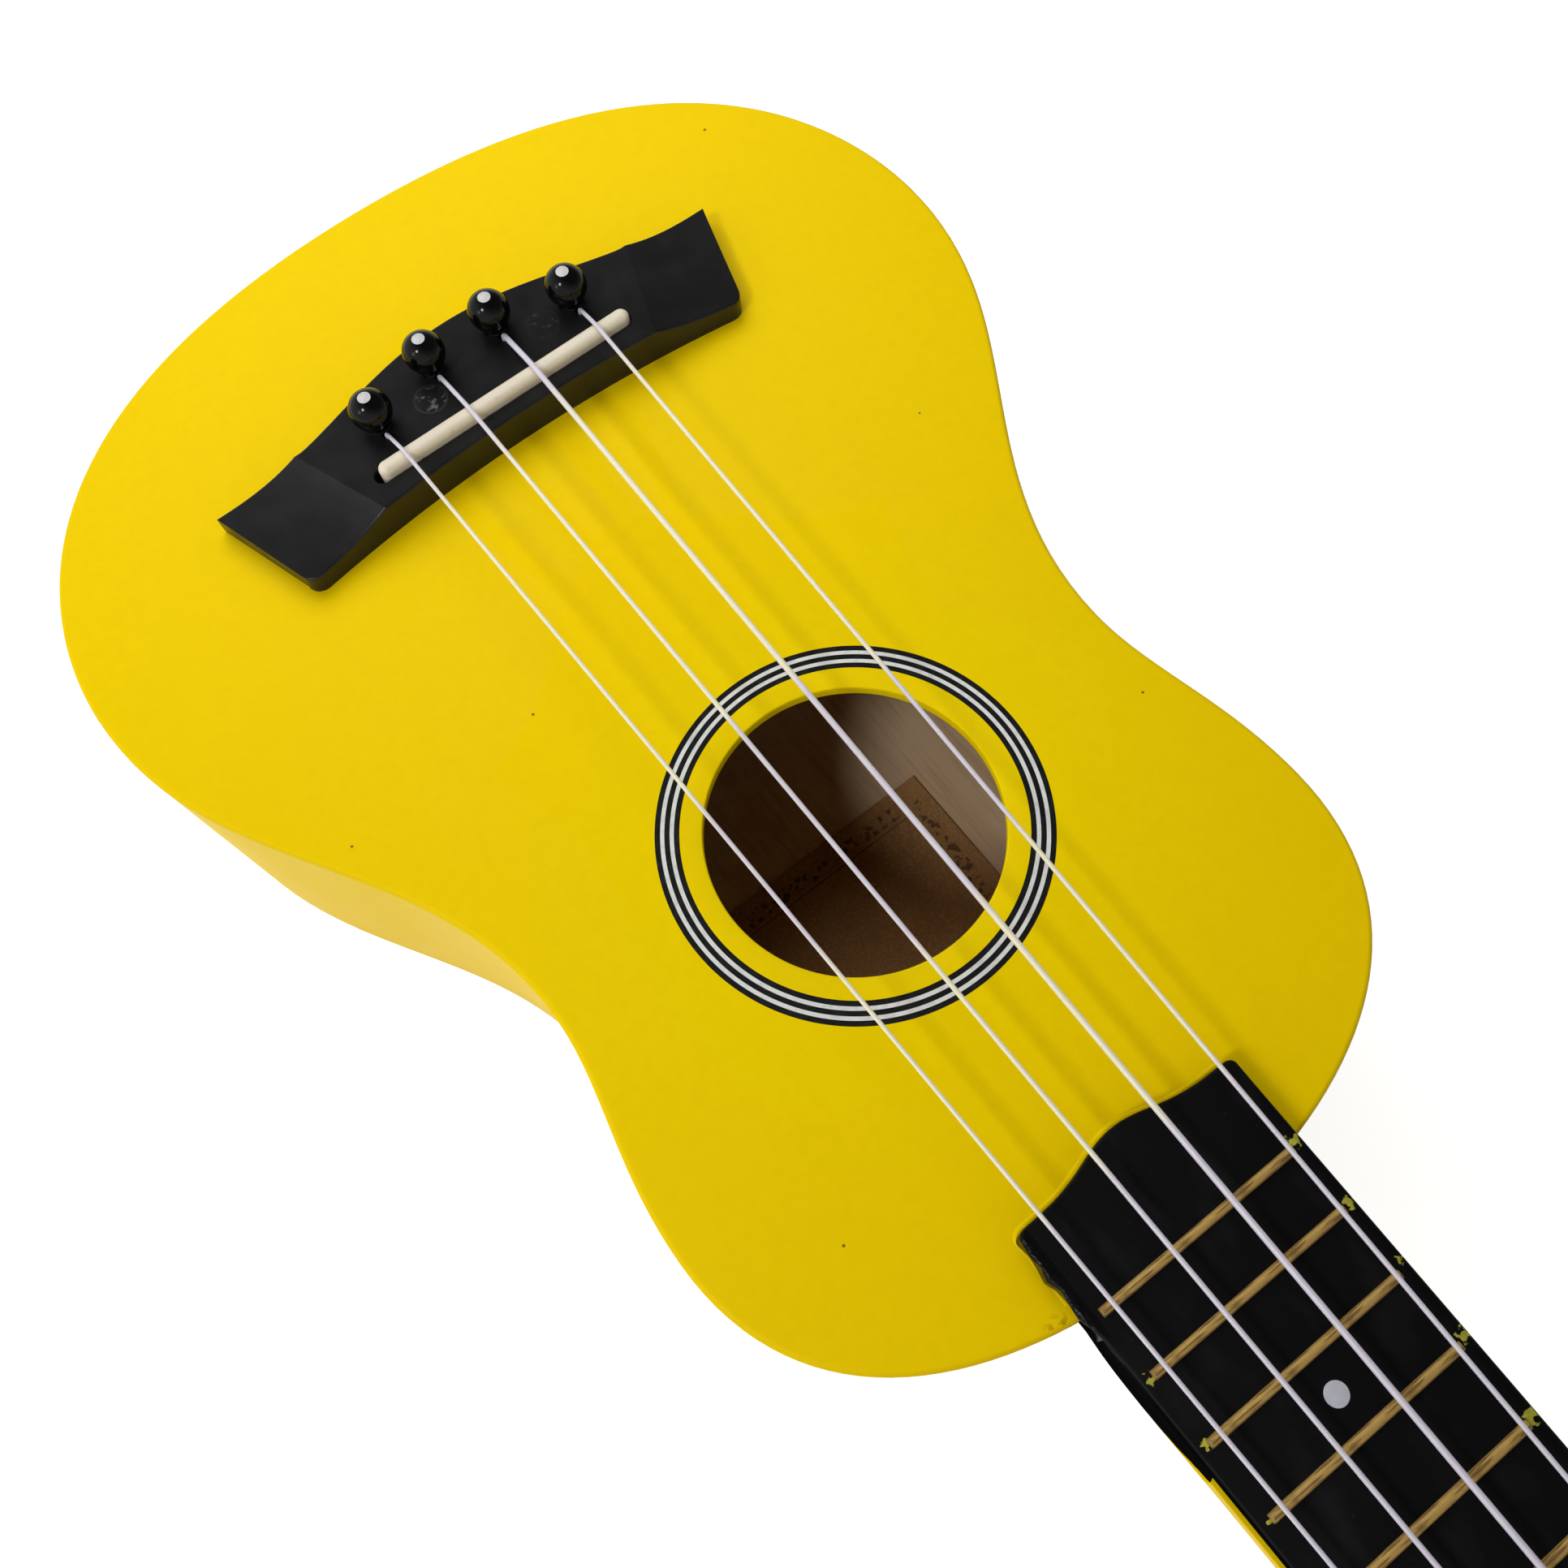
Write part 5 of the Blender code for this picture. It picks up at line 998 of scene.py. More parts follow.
def board_outline():
    """Straight at the nut, with round corners and a short tongue over the body."""
    end_y = fret_y(12) - BOARD_OVER_BODY
    half = board_half_width(end_y)
    corner = BOARD_CORNER_ROUND
    right = [(half - corner * (1 - c), end_y + corner * (1 - s))
             for c, s in arc(0, math.pi / 2, 6)[:-1]]
    steps = 48
    for step in range(steps + 1):
        x = (half - corner) * (1 - step / steps)
        right.append((x, end_y - BOARD_TONGUE * math.exp(-(x / BOARD_TONGUE_HALF_WIDTH) ** 2)))
    straight = NUT_FRONT_Y - end_y - corner
    stations = [end_y + corner + straight * step / 90 for step in range(90, 0, -1)]
    right = [(board_half_width(y), y) for y in stations] + right
    left = [(-x, y) for x, y in reversed(right[:-1])]
    return (right + left)[::-1]


def board_paint(face):
    """The flanks beside the neck are matt."""
    upright = abs(face.normal.z) < 0.5
    return "board_flank" if upright and face.center.y > NECK_JOINT_Y + 0.002 else None


def make_fingerboard():
    """The board, whose treble edge is lumpy with paint next to the body."""
    slab = rounded_slab(board_outline(), BODY_DEPTH - BEDDED, BOARD_TOP_Z, 0.0, BOARD_EDGE_ROUND)
    points = []
    for point in slab[0]:
        x, y, z = point
        near_edge = max(0.0, 1 - (board_half_width(y) - x) / PAINT_LUMP_REACH)
        near_body = max(0.0, 1 - abs(y - PAINT_LUMPS_Y) / PAINT_LUMPS_LENGTH)
        swell = noise.noise(Vector((0.0, y, z * 0.6)) * PAINT_LUMPS_PER_METRE)
        swell += 0.4 * noise.noise(Vector((0.0, y, z)) * PAINT_GRAINS_PER_METRE)
        lump = (0.45 + swell) * PAINT_LUMP * near_edge * min(1, 3 * near_body)
        points.append((x + lump, y, z + min(lump, 0.0) * 0.5))
    pockets = [cylinder(MARKER_RADIUS, BOARD_TOP_Z - MARKER_THICKNESS, BOARD_TOP_Z + CUT_MARGIN,
                        centre=centre) for centre in marker_places().values()]
    mesh = worked((points, slab[1]), *cut_all(*pockets))
    fine("fingerboard", mesh, "board_black", paint=board_paint)


def make_frets():
    """Domed bars, filed down at their ends, with their tangs in the board."""
    for number in range(1, FRET_COUNT + 1):
        place = Vector((0.0, fret_y(number), BOARD_TOP_Z))
        half = board_half_width(place.y) - FRET_INSET
        rings = []
        for back, rise, spread in ((0.0, 0.10, 0.94), (0.00005, 0.60, 0.97), (0.0003, 0.92, 1.0),
                                   (0.0010, 1.0, 1.0)):
            ring = [(back - half, FRET_WIDTH / 2 * spread * c, FRET_HEIGHT * rise * s ** 0.8)
                    for c, s in arc(0, math.pi, 12)]
            ring += [(back - half, side * FRET_WIDTH * 0.3, -TANG_DEPTH) for side in (-1, 1)]
            rings.append(ring)
        rings += [[(-x, y, z) for x, y, z in ring] for ring in reversed(rings)]
        piece(f"fret_{number:02d}", loft(rings), "fret_gold", matrix=Matrix.Translation(place))


def marker_places():
    return {number: (0.0, (fret_y(number) + fret_y(number - 1)) / 2) for number in MARKED_FRETS}


def make_markers():
    for number, centre in marker_places().items():
        rim = MARKER_RADIUS
        edge = MARKER_EDGE
        disc = turned([(0.0, -MARKER_THICKNESS), (rim, -MARKER_THICKNESS), (rim, -edge * 0.6),
                       (rim - edge * 0.3, -edge * 0.2), (rim - edge, 0.0), (0.0, edge * 0.2)])
        fine(f"position_dot_{number}", disc, "marker_white",
             matrix=Matrix.Translation((*centre, BOARD_TOP_Z)))


def make_paint_ridge():
    """The body's paint, brushed up in a low ridge round the board's end and its treble side."""
    end_y = fret_y(12) - BOARD_OVER_BODY
    path = [Vector(point) for point in board_outline()
            if point[1] < (RIDGE_STOP_Y if point[0] > 0 else end_y + BOARD_CORNER_ROUND * 0.5)]
    rings = []
    for index in range(1, len(path) - 1):
        way = (path[index + 1] - path[index - 1]).normalized()
        out = Vector((way.y, -way.x))
        swell = 0.9 + 0.6 * noise.noise(Vector((*path[index], 0.0)) * RIDGE_SWELLS_PER_METRE)
        ring = [(*(path[index] - out * RIDGE_TUCK), BODY_DEPTH - BEDDED)]
        for step in range(9):
            place = path[index] + out * (RIDGE_WIDTH * step / 8 - RIDGE_TUCK)
            lift = RIDGE_HEIGHT * swell * math.sin(math.pi * step / 8) ** 1.5
            ring.append((*place, BODY_DEPTH - 0.00002 + lift))
        ring.append((*(path[index] + out * (RIDGE_WIDTH - RIDGE_TUCK)), BODY_DEPTH - BEDDED))
        rings.append(ring)
    piece("paint_ridge", loft(rings), "yellow_wood", smooth=70)


def string_across(name, spacing):
    """How far across a string lies where the strings have that spacing."""
    return (STRING_NAMES.index(name) - (len(STRING_NAMES) - 1) / 2) * spacing


def nut_string_x(name):
    return string_across(name, NUT_STRING_SPACING)


def nut_string_z(name):
    return FRET_TOP_Z + NUT_RISE_OVER_FRETS + CLEARANCE + STRING_DIAMETERS[name] / 2


def make_nut():
    half = board_half_width(NUT_FRONT_Y)
    thickest = max(STRING_DIAMETERS.values())
    top = FRET_TOP_Z + NUT_RISE_OVER_FRETS + CLEARANCE + thickest + NUT_SHOULDER
    section = [(NUT_FRONT_Y, BODY_DEPTH), (HEAD_Y, BODY_DEPTH)]
    slope_y = NUT_FRONT_Y + NUT_FRONT_SLOPE
    section += bezier((HEAD_Y, top - NUT_CROWN_HEIGHT), (HEAD_Y, top - NUT_CROWN_HEIGHT / 3),
                      (HEAD_Y - NUT_CROWN_LENGTH, top), (slope_y, top), 14)
    section += bezier((slope_y, top), (NUT_FRONT_Y + NUT_FRONT_ROUND, top),
                      (NUT_FRONT_Y, top - NUT_FRONT_ROUND / 3),
                      (NUT_FRONT_Y, top - NUT_FRONT_ROUND), 5)
    blank = loft([[(x, y, z) for y, z in section] for x in (-half, half)])
    slots = []
    for name in STRING_NAMES:
        radius = STRING_DIAMETERS[name] / 2 + CLEARANCE / 3
        x, z = nut_string_x(name), nut_string_z(name)
        outline = [(x + radius * c, z + radius * s) for c, s in arc(math.pi, 2 * math.pi, 12)]
        outline += [(x + radius, top + CUT_MARGIN), (x - radius, top + CUT_MARGIN)]
        slots.append(loft([[(px, y, pz) for px, pz in outline]
                           for y in (NUT_FRONT_Y - CUT_MARGIN, HEAD_Y + CUT_MARGIN)]))
    fine("nut", worked(blank, *cut_all(*slots)), "ivory_plastic", bevel=NUT_EDGE_ROUND)


# Neck and head

def d_section(y, half, top, depth, fullness, corner=NECK_CORNER_ROUND, steps=20):
    """Flat on top, with slightly rounded corners, and a superellipse below."""
    ring = [(half - back, y, height) for back, height in round_levels(top, corner, 4, -1)][::-1]
    ring += [(half * max(c, 0.0) ** (2 / fullness), y, top - depth * s ** (2 / fullness))
             for c, s in arc(0, math.pi / 2, steps)[1:]]
    return ring + [(-x, y, z) for x, _, z in reversed(ring[:-1])]


def heel_section(y, heel_share):
    """A neck section, or nearer the body one that deepens into the heel."""
    along = (HEAD_Y - y) / (HEAD_Y - NECK_JOINT_Y)
    depth = NECK_DEPTH_AT_NUT + (NECK_DEPTH_AT_HEEL - NECK_DEPTH_AT_NUT) * min(along, 1.0)
    depth += (HEEL_DEPTH - depth) * heel_share
    fullness = NECK_FULLNESS + (HEEL_FULLNESS - NECK_FULLNESS) * heel_share
    return d_section(y, board_half_width(y) + NECK_MARGIN, BODY_DEPTH, depth, fullness)


def neck_form():
    """Sections from inside the body, along the heel and the neck, and down into the head."""
    rings = []
    heel_steps = 36
    for step in range(-1, heel_steps + 1):
        share = max(step, 0) / heel_steps
        y = NECK_JOINT_Y - BOARD_OVER_BODY * (step < 0) + HEEL_LENGTH * share
        rings.append(heel_section(y, (1 - share) ** HEEL_SWEEP))
    heel_end = NECK_JOINT_Y + HEEL_LENGTH
    neck_end = HEAD_Y - VOLUTE_BEFORE
    for step in range(1, 13):
        rings.append(heel_section(heel_end + (neck_end - heel_end) * step / 12, 0.0))
    steps = 20
    for step in range(1, steps + 1):
        share = step / steps
        y = neck_end + (VOLUTE_BEFORE + VOLUTE_AFTER) * share
        past = max(0.0, y - HEAD_Y)
        ease = share * share * (3 - 2 * share)
        half = (head_half_width(past) if past else board_half_width(y) + NECK_MARGIN) - HEAD_SUNK
        onto_head = min(1.0, past / HEAD_SLAB_START)
        top = BODY_DEPTH - past * math.tan(HEAD_TILT) - (HEAD_STEP + HEAD_SUNK) * onto_head
        under = NECK_DEPTH_AT_NUT + (HEAD_THICKNESS / math.cos(HEAD_TILT) - HEAD_STEP
                                     - NECK_DEPTH_AT_NUT) * ease
        fullness = NECK_FULLNESS + (HEAD_FULLNESS - NECK_FULLNESS) * ease
        corner = NECK_CORNER_ROUND + (HEAD_EDGE_ROUND - NECK_CORNER_ROUND) * onto_head
        rings.append(d_section(y, half, top, under - HEAD_SUNK * share, fullness, corner))
    return loft(rings)


def head_runs():
    """The right side of the head from the front: flared from the neck, with a three-part crest."""
    start = board_half_width(HEAD_Y) + NECK_MARGIN - HEAD_STEP
    low = HEAD_WIDTH_LOW / 2
    high = HEAD_WIDTH_HIGH / 2
    flare = HEAD_FLARE_LENGTH
    shoulder = HEAD_LENGTH - HEAD_CREST * 2.2
    dip = (high * 0.66, HEAD_LENGTH - HEAD_CREST)
    right = bezier((start, 0.0), (start, flare * 0.5), (low, flare * 0.4), (low, flare), 24)
    right += bezier((low, flare), (low, flare * 2), (high, shoulder - flare), (high, shoulder), 16)
    right += bezier((high, shoulder), (high, dip[1] + HEAD_CREST * 0.6),
                    (dip[0] + HEAD_CREST, dip[1] + HEAD_CREST * 0.1), dip, 18)
    right += bezier(dip, (dip[0] - HEAD_CREST, dip[1] - HEAD_CREST * 0.1),
                    (high * 0.3, HEAD_LENGTH), (0.0, HEAD_LENGTH), 24)
    return right


def head_half_width(v):
    """The head's half width at a distance from the nut, along its flare."""
    run = head_runs()
    for (xa, va), (xb, vb) in zip(run, run[1:]):
        if va <= v <= vb:
            return xa + (xb - xa) * (v - va) / (vb - va)
    return run[0][0]


def head_matrix(x=0.0, v=0.0, w=0.0):
    """A place in the head's own frame, which leans back from the nut."""
    base = Matrix.Translation((0.0, HEAD_Y, BODY_DEPTH - HEAD_STEP))
    return base @ Matrix.Rotation(-HEAD_TILT, 4, "X") @ Matrix.Translation((x, v, w))


def tuner_places():
    """name: (side, x, v) of each string post. The outer strings go to the near posts."""
    places = {}
    for name in STRING_NAMES:
        side = -1 if string_across(name, 1) < 0 else 1
        places[name] = (side, side * POST_SIDE, NEAR_POST if name in OUTER_STRINGS else FAR_POST)
    return places


def neck_paint(face):
    """Where the black ran down, the neck is matt."""
    x, y, z = face.center
    ran = x > 0 and y < BLACK_RUN[1] and z > BODY_DEPTH - BLACK_RUN_DEPTH * 1.1
    return "neck_flank" if ran else None


def make_neck():
    right = [(head_half_width(HEAD_SLAB_START), HEAD_SLAB_START)]
    right += [(x, v) for x, v in head_runs() if v > HEAD_SLAB_START + HEAD_EDGE_ROUND * 1.5]
    outline = right + [(0.0, HEAD_LENGTH)] + [(-x, v) for x, v in reversed(right)]
    head = rounded_slab(outline, -HEAD_THICKNESS, 0.0, HEAD_EDGE_ROUND, HEAD_EDGE_ROUND, 4)
    body = prism(body_outline(BEDDED), -CUT_MARGIN, BODY_DEPTH + CUT_MARGIN)
    bores = []
    for _, x, v in tuner_places().values():
        bores.append(moved(cylinder(FERRULE_SLEEVE_DIAMETER / 2, -HEAD_THICKNESS - CUT_MARGIN,
                                    CUT_MARGIN, centre=(x, v)), head_matrix()))
    mesh = worked(neck_form(), ("DIFFERENCE", body), ("UNION", moved(head, head_matrix())),
                  *cut_all(*bores))
    fine("neck", mesh, "yellow_neck", paint=neck_paint)


# Bridge, saddle and pins

def pin_places():
    """(x, y) of each bridge pin, from the bass side."""
    places = {}
    for name in STRING_NAMES:
        back = PIN_TO_SADDLE_OUTER if name in OUTER_STRINGS else PIN_TO_SADDLE_INNER
        places[name] = (string_across(name, PIN_SPACING), SADDLE_Y - back)
    return places


def string_hole_y(name):
    """Where a string comes up through the bridge, just in front of its pin's collar."""
    gap = PIN_COLLAR_DIAMETER / 2 + CLEARANCE + STRING_DIAMETERS[name] / 2
    return pin_places()[name][1] + gap


def pin_holes():
    return [cylinder(PIN_TOP_DIAMETER / 2 + CLEARANCE / 2, BRIDGE_PLATE_UNDER_Z - CUT_MARGIN,
                     BRIDGE_TOP_Z + CUT_MARGIN, centre=place) for place in pin_places().values()]


def string_slots():
    slots = []
    for name, (x, y) in pin_places().items():
        half = STRING_DIAMETERS[name] / 2 + STRING_SLOT_PLAY
        reach = string_hole_y(name) + half - y
        front = [(x - across, y + along) for along, across in stadium(2 * reach, 2 * half, 10)
                 if along > reach / 2]
        slots.append(prism([(x - half, y), (x + half, y)] + front,
                           BRIDGE_PLATE_UNDER_Z - 2 * CUT_MARGIN, BRIDGE_TOP_Z + 2 * CUT_MARGIN))
    return slots


def bridge_front_y(x):
    """The bridge's front edge: a shallow bow with rounded corners."""
    half = BRIDGE_FRONT_WIDTH / 2
    y = BRIDGE_FRONT + BRIDGE_FRONT_CURVE * (x / half) ** 2
    past = max(0.0, abs(x) - (half - BRIDGE_CORNER_ROUND)) / BRIDGE_CORNER_ROUND
    return y - BRIDGE_CORNER_ROUND * (1 - math.sqrt(max(0.0, 1 - past * past)))


def bridge_back_y(x):
    """The tail edge: straight under the wings, with a belly between them."""
    share = min(abs(x) / (BRIDGE_BELLY_WIDTH / 2), 1.0)
    return -BRIDGE_BACK - BRIDGE_BELLY * (0.5 + 0.5 * math.cos(math.pi * share)) ** 0.6


def bridge_stations():
    """Places across the bridge: 0 to 1 over the level middle, 1 to 2 out along a wing."""
    right = [step / BRIDGE_STATIONS_CENTRE for step in range(BRIDGE_STATIONS_CENTRE + 1)]
    right += [1 + math.sin(math.pi / 2 * step / BRIDGE_STATIONS_WING)
              for step in range(1, BRIDGE_STATIONS_WING + 1)]
    return [-station for station in reversed(right[1:])] + right


def bridge_x(station, break_width, full_width):
    """How far across an edge a station lies, given where the wing begins and ends on it."""
    middle = min(abs(station), 1.0) * break_width / 2
    wing = max(abs(station) - 1.0, 0.0) * (full_width - break_width) / 2
    return math.copysign(middle + wing, station)


def make_bridge():
    rings = []
    for station in bridge_stations():
        past = max(abs(station) - 1.0, 0.0)
        rise = (BRIDGE_HEIGHT - BRIDGE_WING_HEIGHT) * (1 - past) ** BRIDGE_SCOOP
        top = BODY_DEPTH + CLEARANCE + BRIDGE_WING_HEIGHT + rise
        front = Vector((bridge_x(station, BRIDGE_FRONT_BREAK, BRIDGE_FRONT_WIDTH), 0.0))
        front.y = bridge_front_y(front.x)
        back = Vector((bridge_x(station, BRIDGE_TAIL_BREAK, BRIDGE_TAIL_WIDTH), 0.0))
        back.y = bridge_back_y(back.x)
        along = (front - back).normalized()
        profile = [(back, BODY_DEPTH - BEDDED)]
        levels = round_levels(top, BRIDGE_EDGE_ROUND, 7, -1)
        profile += [(back + along * distance, height) for distance, height in levels]
        profile += [(front - along * distance, height) for distance, height in reversed(levels)]
        profile.append((front, BODY_DEPTH - BEDDED))
        rings.append([(point.x, SADDLE_Y + point.y, z) for point, z in profile])
    outline = stadium(SADDLE_LENGTH + 2 * CLEARANCE + SADDLE_SLOT_SPARE,
                      SADDLE_THICKNESS + CLEARANCE, 16)
    slot = prism([(x, SADDLE_Y + y) for x, y in outline], BRIDGE_TOP_Z - SADDLE_SLOT_DEPTH,
                 BRIDGE_TOP_Z + CUT_MARGIN)
    mesh = worked(loft(rings), *cut_all(slot, *pin_holes(), *string_slots()))
    fine("bridge", mesh, "bridge_black", smooth=15)


def make_saddle():
    shift = -SADDLE_SLOT_SPARE / 2
    outline = [(x + shift, SADDLE_Y + y) for x, y in stadium(SADDLE_LENGTH, SADDLE_THICKNESS, 24)]
    bar = rounded_slab(outline, BRIDGE_TOP_Z - SADDLE_SLOT_DEPTH, SADDLE_TOP_Z, 0.0,
                       SADDLE_THICKNESS * 0.42, 8)
    fine("saddle", bar, "ivory_plastic")


def pin_profile():
    """(radius, height) points of a bridge pin, up from its tip; height 0 is its collar's seat."""
    head = PIN_HEAD_DIAMETER / 2
    collar = PIN_COLLAR_DIAMETER / 2
    centre = PIN_COLLAR_HEIGHT + math.sqrt(head ** 2 - collar ** 2)
    profile = [(0.0, -PIN_LENGTH), (PIN_TIP_DIAMETER * 0.35, -PIN_LENGTH),
               (PIN_TIP_DIAMETER * 0.46, -PIN_LENGTH + 0.0004),
               (PIN_TIP_DIAMETER / 2, -PIN_LENGTH + 0.0012), (PIN_TOP_DIAMETER / 2, 0.0),
               (collar * 0.98, 0.0), (collar, 0.0001)]
    profile += [(collar * (1 - 0.06 * math.sin(math.pi * step / 6)), PIN_COLLAR_HEIGHT * step / 6)
                for step in range(1, 7)]
    lowest = -math.asin((centre - PIN_COLLAR_HEIGHT) / head)
    dot = math.acos(PIN_DOT_DIAMETER / 2 / head)
    ball = arc(lowest, dot, 20)[1:] + arc(dot, math.pi / 2, 5)[1:-1]
    profile += [(head * c, centre + head * s) for c, s in ball]
    profile.append((0.0, centre + head))
    return profile


def pin_paint(face):
    within = math.hypot(face.center.x, face.center.y) < PIN_DOT_DIAMETER / 2
    return "pin_dot" if within and face.center.z > PIN_COLLAR_HEIGHT else None


def make_pins():
    for name, (x, y) in pin_places().items():
        fine(f"bridge_pin_{name}", turned(pin_profile()), "pin_black", f"pin_{name}",
             Matrix.Translation((x, y, BRIDGE_TOP_Z + CLEARANCE / 2)), paint=pin_paint)


# Tuners

def on_its_side(form):
    """A form turned about Z, laid along X."""
    return moved(form, Matrix.Rotation(math.pi / 2, 4, "Y"))


def worm_form():
    """A thread between two bearings, a riveted collar at each end and a long stem."""
    core, collar = WORM_CORE_RADIUS, WORM_COLLAR_RADIUS
    shaft = on_its_side(turned([
        (0.0, -COLLAR_OUTER_X - 0.0002), (collar * 0.6, -COLLAR_OUTER_X),
        (collar * 0.9, -COLLAR_OUTER_X + 0.0002), (collar, -COLLAR_OUTER_X + 0.0004),
        (collar, -COLLAR_INNER_X), (core, -COLLAR_INNER_X), (core, COLLAR_INNER_X),
        (collar, COLLAR_INNER_X), (collar, COLLAR_OUTER_X), (core, COLLAR_OUTER_X),
        (core, WORM_END_X), (0.0, WORM_END_X)], 32))
    sunk = WORM_CORE_RADIUS * 0.8
    slope = (WORM_ROOT_HALF - WORM_CREST_HALF) / (WORM_OUTER_RADIUS - WORM_CORE_RADIUS)
    sunk_half = WORM_ROOT_HALF + slope * (WORM_CORE_RADIUS - sunk)
    crest = WORM_CREST_HALF
    section = [(-sunk_half, sunk), (-crest - 0.00004, WORM_OUTER_RADIUS - 0.00012),
               (-crest * 0.6, WORM_OUTER_RADIUS), (crest * 0.6, WORM_OUTER_RADIUS),
               (crest + 0.00004, WORM_OUTER_RADIUS - 0.00012), (sunk_half, sunk)]
    turns = 2 * (WORM_HALF_LENGTH - sunk_half) / WORM_LEAD
    steps = round(turns * WORM_STEPS_PER_TURN)
    rings = []
    for step in range(steps + 1):
        angle = 2 * math.pi * turns * (step / steps - 0.5)
        x = WORM_LEAD * angle / (2 * math.pi)
        rings.append([(x + along, radius * math.cos(angle), radius * math.sin(angle))
                      for along, radius in section])
    return worked(shaft, ("UNION", loft(rings)))


def gear_form():
    """A wheel whose teeth lean with the worm's thread, on a square hole."""
    per_tooth = 2 * math.pi / GEAR_TEETH
    root = TOOTH_ROOT_HALF / GEAR_ROOT_RADIUS
    tip = TOOTH_TIP_HALF / GEAR_TIP_RADIUS
    lean = WORM_LEAD / (2 * math.pi * WORM_PITCH_RADIUS)
    between = (GEAR_ROOT_RADIUS + GEAR_TIP_RADIUS) / 2
    swell = (root + tip) / 2 * 1.06
    corners = ((-root * 1.5, GEAR_ROOT_RADIUS - 0.00005), (-root, GEAR_ROOT_RADIUS),
               (-swell, between), (-tip, GEAR_TIP_RADIUS - 0.00006),
               (-tip * 0.7, GEAR_TIP_RADIUS), (tip * 0.7, GEAR_TIP_RADIUS),
               (tip, GEAR_TIP_RADIUS - 0.00006), (swell, between), (root, GEAR_ROOT_RADIUS),
               (root * 1.5, GEAR_ROOT_RADIUS - 0.00005))
    rings = []
    for level in range(7):
        height = GEAR_THICKNESS * (level / 6 - 0.5)
        twist = height * lean / GEAR_PITCH_RADIUS
        ring = []
        for tooth in range(GEAR_TEETH):
            middle = -math.pi / 2 + per_tooth * (tooth + 0.5) + twist
            ring += [(radius * math.cos(middle + angle), radius * math.sin(middle + angle), height)
                     for angle, radius in corners]
        rings.append(ring)
    side = SPIGOT_SIDE + CLEARANCE
    hole = prism(rectangle(side, side), -GEAR_THICKNESS, GEAR_THICKNESS)
    return worked(loft(rings), *cut_all(hole))


def post_form():
    """A string post: a waisted top with a string hole, and a square end for the gear."""
    radius, waist = POST_DIAMETER / 2, POST_WAIST_DIAMETER / 2
    shoulder = GEAR_TOP_W + CLEARANCE
    low = FERRULE_FLANGE_THICKNESS + 2 * CLEARANCE
    profile = [(0.0, shoulder), (radius - POST_EDGE, shoulder), (radius, shoulder + POST_EDGE),
               (radius, low)]
    ease = [0.5 + 0.5 * c for c, _ in arc(0, math.pi, 8)]
    profile += [(waist + (radius - waist) * share, low + POST_WAIST_FALL * step / 8)
                for step, share in enumerate(ease) if step]
    profile += [(waist + (radius - waist) * (1 - share),
                 POST_WAIST_TOP + POST_WAIST_RISE * step / 8) for step, share in enumerate(ease)]
    profile += [(radius - back, height)
                for back, height in round_levels(POST_HEIGHT, POST_TOP_ROUND, 6, -1)]
    profile.append((0.0, POST_HEIGHT))
    square = prism(rectangle(SPIGOT_SIDE, SPIGOT_SIDE), SCREW_SEAT_W - 0.0003, shoulder + 0.001)
    hole = on_its_side(cylinder(POST_HOLE_DIAMETER / 2, -POST_DIAMETER, POST_DIAMETER, 32))
    hole = moved(hole, Matrix.Translation((0.0, 0.0, POST_HOLE_HEIGHT)))
    head, low = GEAR_SCREW_HEAD / 2, SCREW_SEAT_W - GEAR_SCREW_HEAD_HEIGHT
    screw = turned([(0.0, low), (head * 0.55, low + 0.00004), (head * 0.8, low + 0.00014),
                    (head * 0.95, low + 0.00032), (head, low + 0.0005), (head, SCREW_SEAT_W),
                    (0.0, SCREW_SEAT_W)])
    slot = prism(rectangle(GEAR_SCREW_HEAD * 1.2, GEAR_SCREW_HEAD * 0.16), low - CUT_MARGIN,
                 low + GEAR_SCREW_HEAD_HEIGHT / 2)
    return worked(turned(profile), ("UNION", square), ("UNION", screw), *cut_all(slot, hole))


def plate_form():
    """A stamped base with two ears that carry the worm."""
    outline = [(-y, x) for x, y in stadium(TUNER_PLATE_LENGTH, TUNER_PLATE_WIDTH, 24)]
    root_w = PLATE_TOP_W - TUNER_PLATE_THICKNESS / 2
    ear = [(-EAR_RADIUS, root_w)]
    ear += [(EAR_RADIUS * c, WORM_W + EAR_RADIUS * s) for c, s in arc(math.pi, 2 * math.pi, 16)]
    ear.append((EAR_RADIUS, root_w))
    steps = []
    for hand in (-1, 1):
        steps.append(("UNION", loft([[(hand * x, v - GEAR_CENTRE_DISTANCE, w) for v, w in ear]
                                     for x in (EAR_INNER_X, EAR_OUTER_X)])))
    bearing = on_its_side(cylinder(WORM_CORE_RADIUS + CLEARANCE / 3, -TUNER_PLATE_WIDTH,
                                   TUNER_PLATE_WIDTH, 32))
    bearing = moved(bearing, Matrix.Translation((0.0, -GEAR_CENTRE_DISTANCE, WORM_W)))
    hole = cylinder(POST_DIAMETER / 2 + CLEARANCE, PLATE_UNDER_W - CUT_MARGIN,
                    PLATE_TOP_W + CUT_MARGIN)
    return worked(prism(outline, PLATE_UNDER_W, PLATE_TOP_W), *steps, *cut_all(bearing, hole))


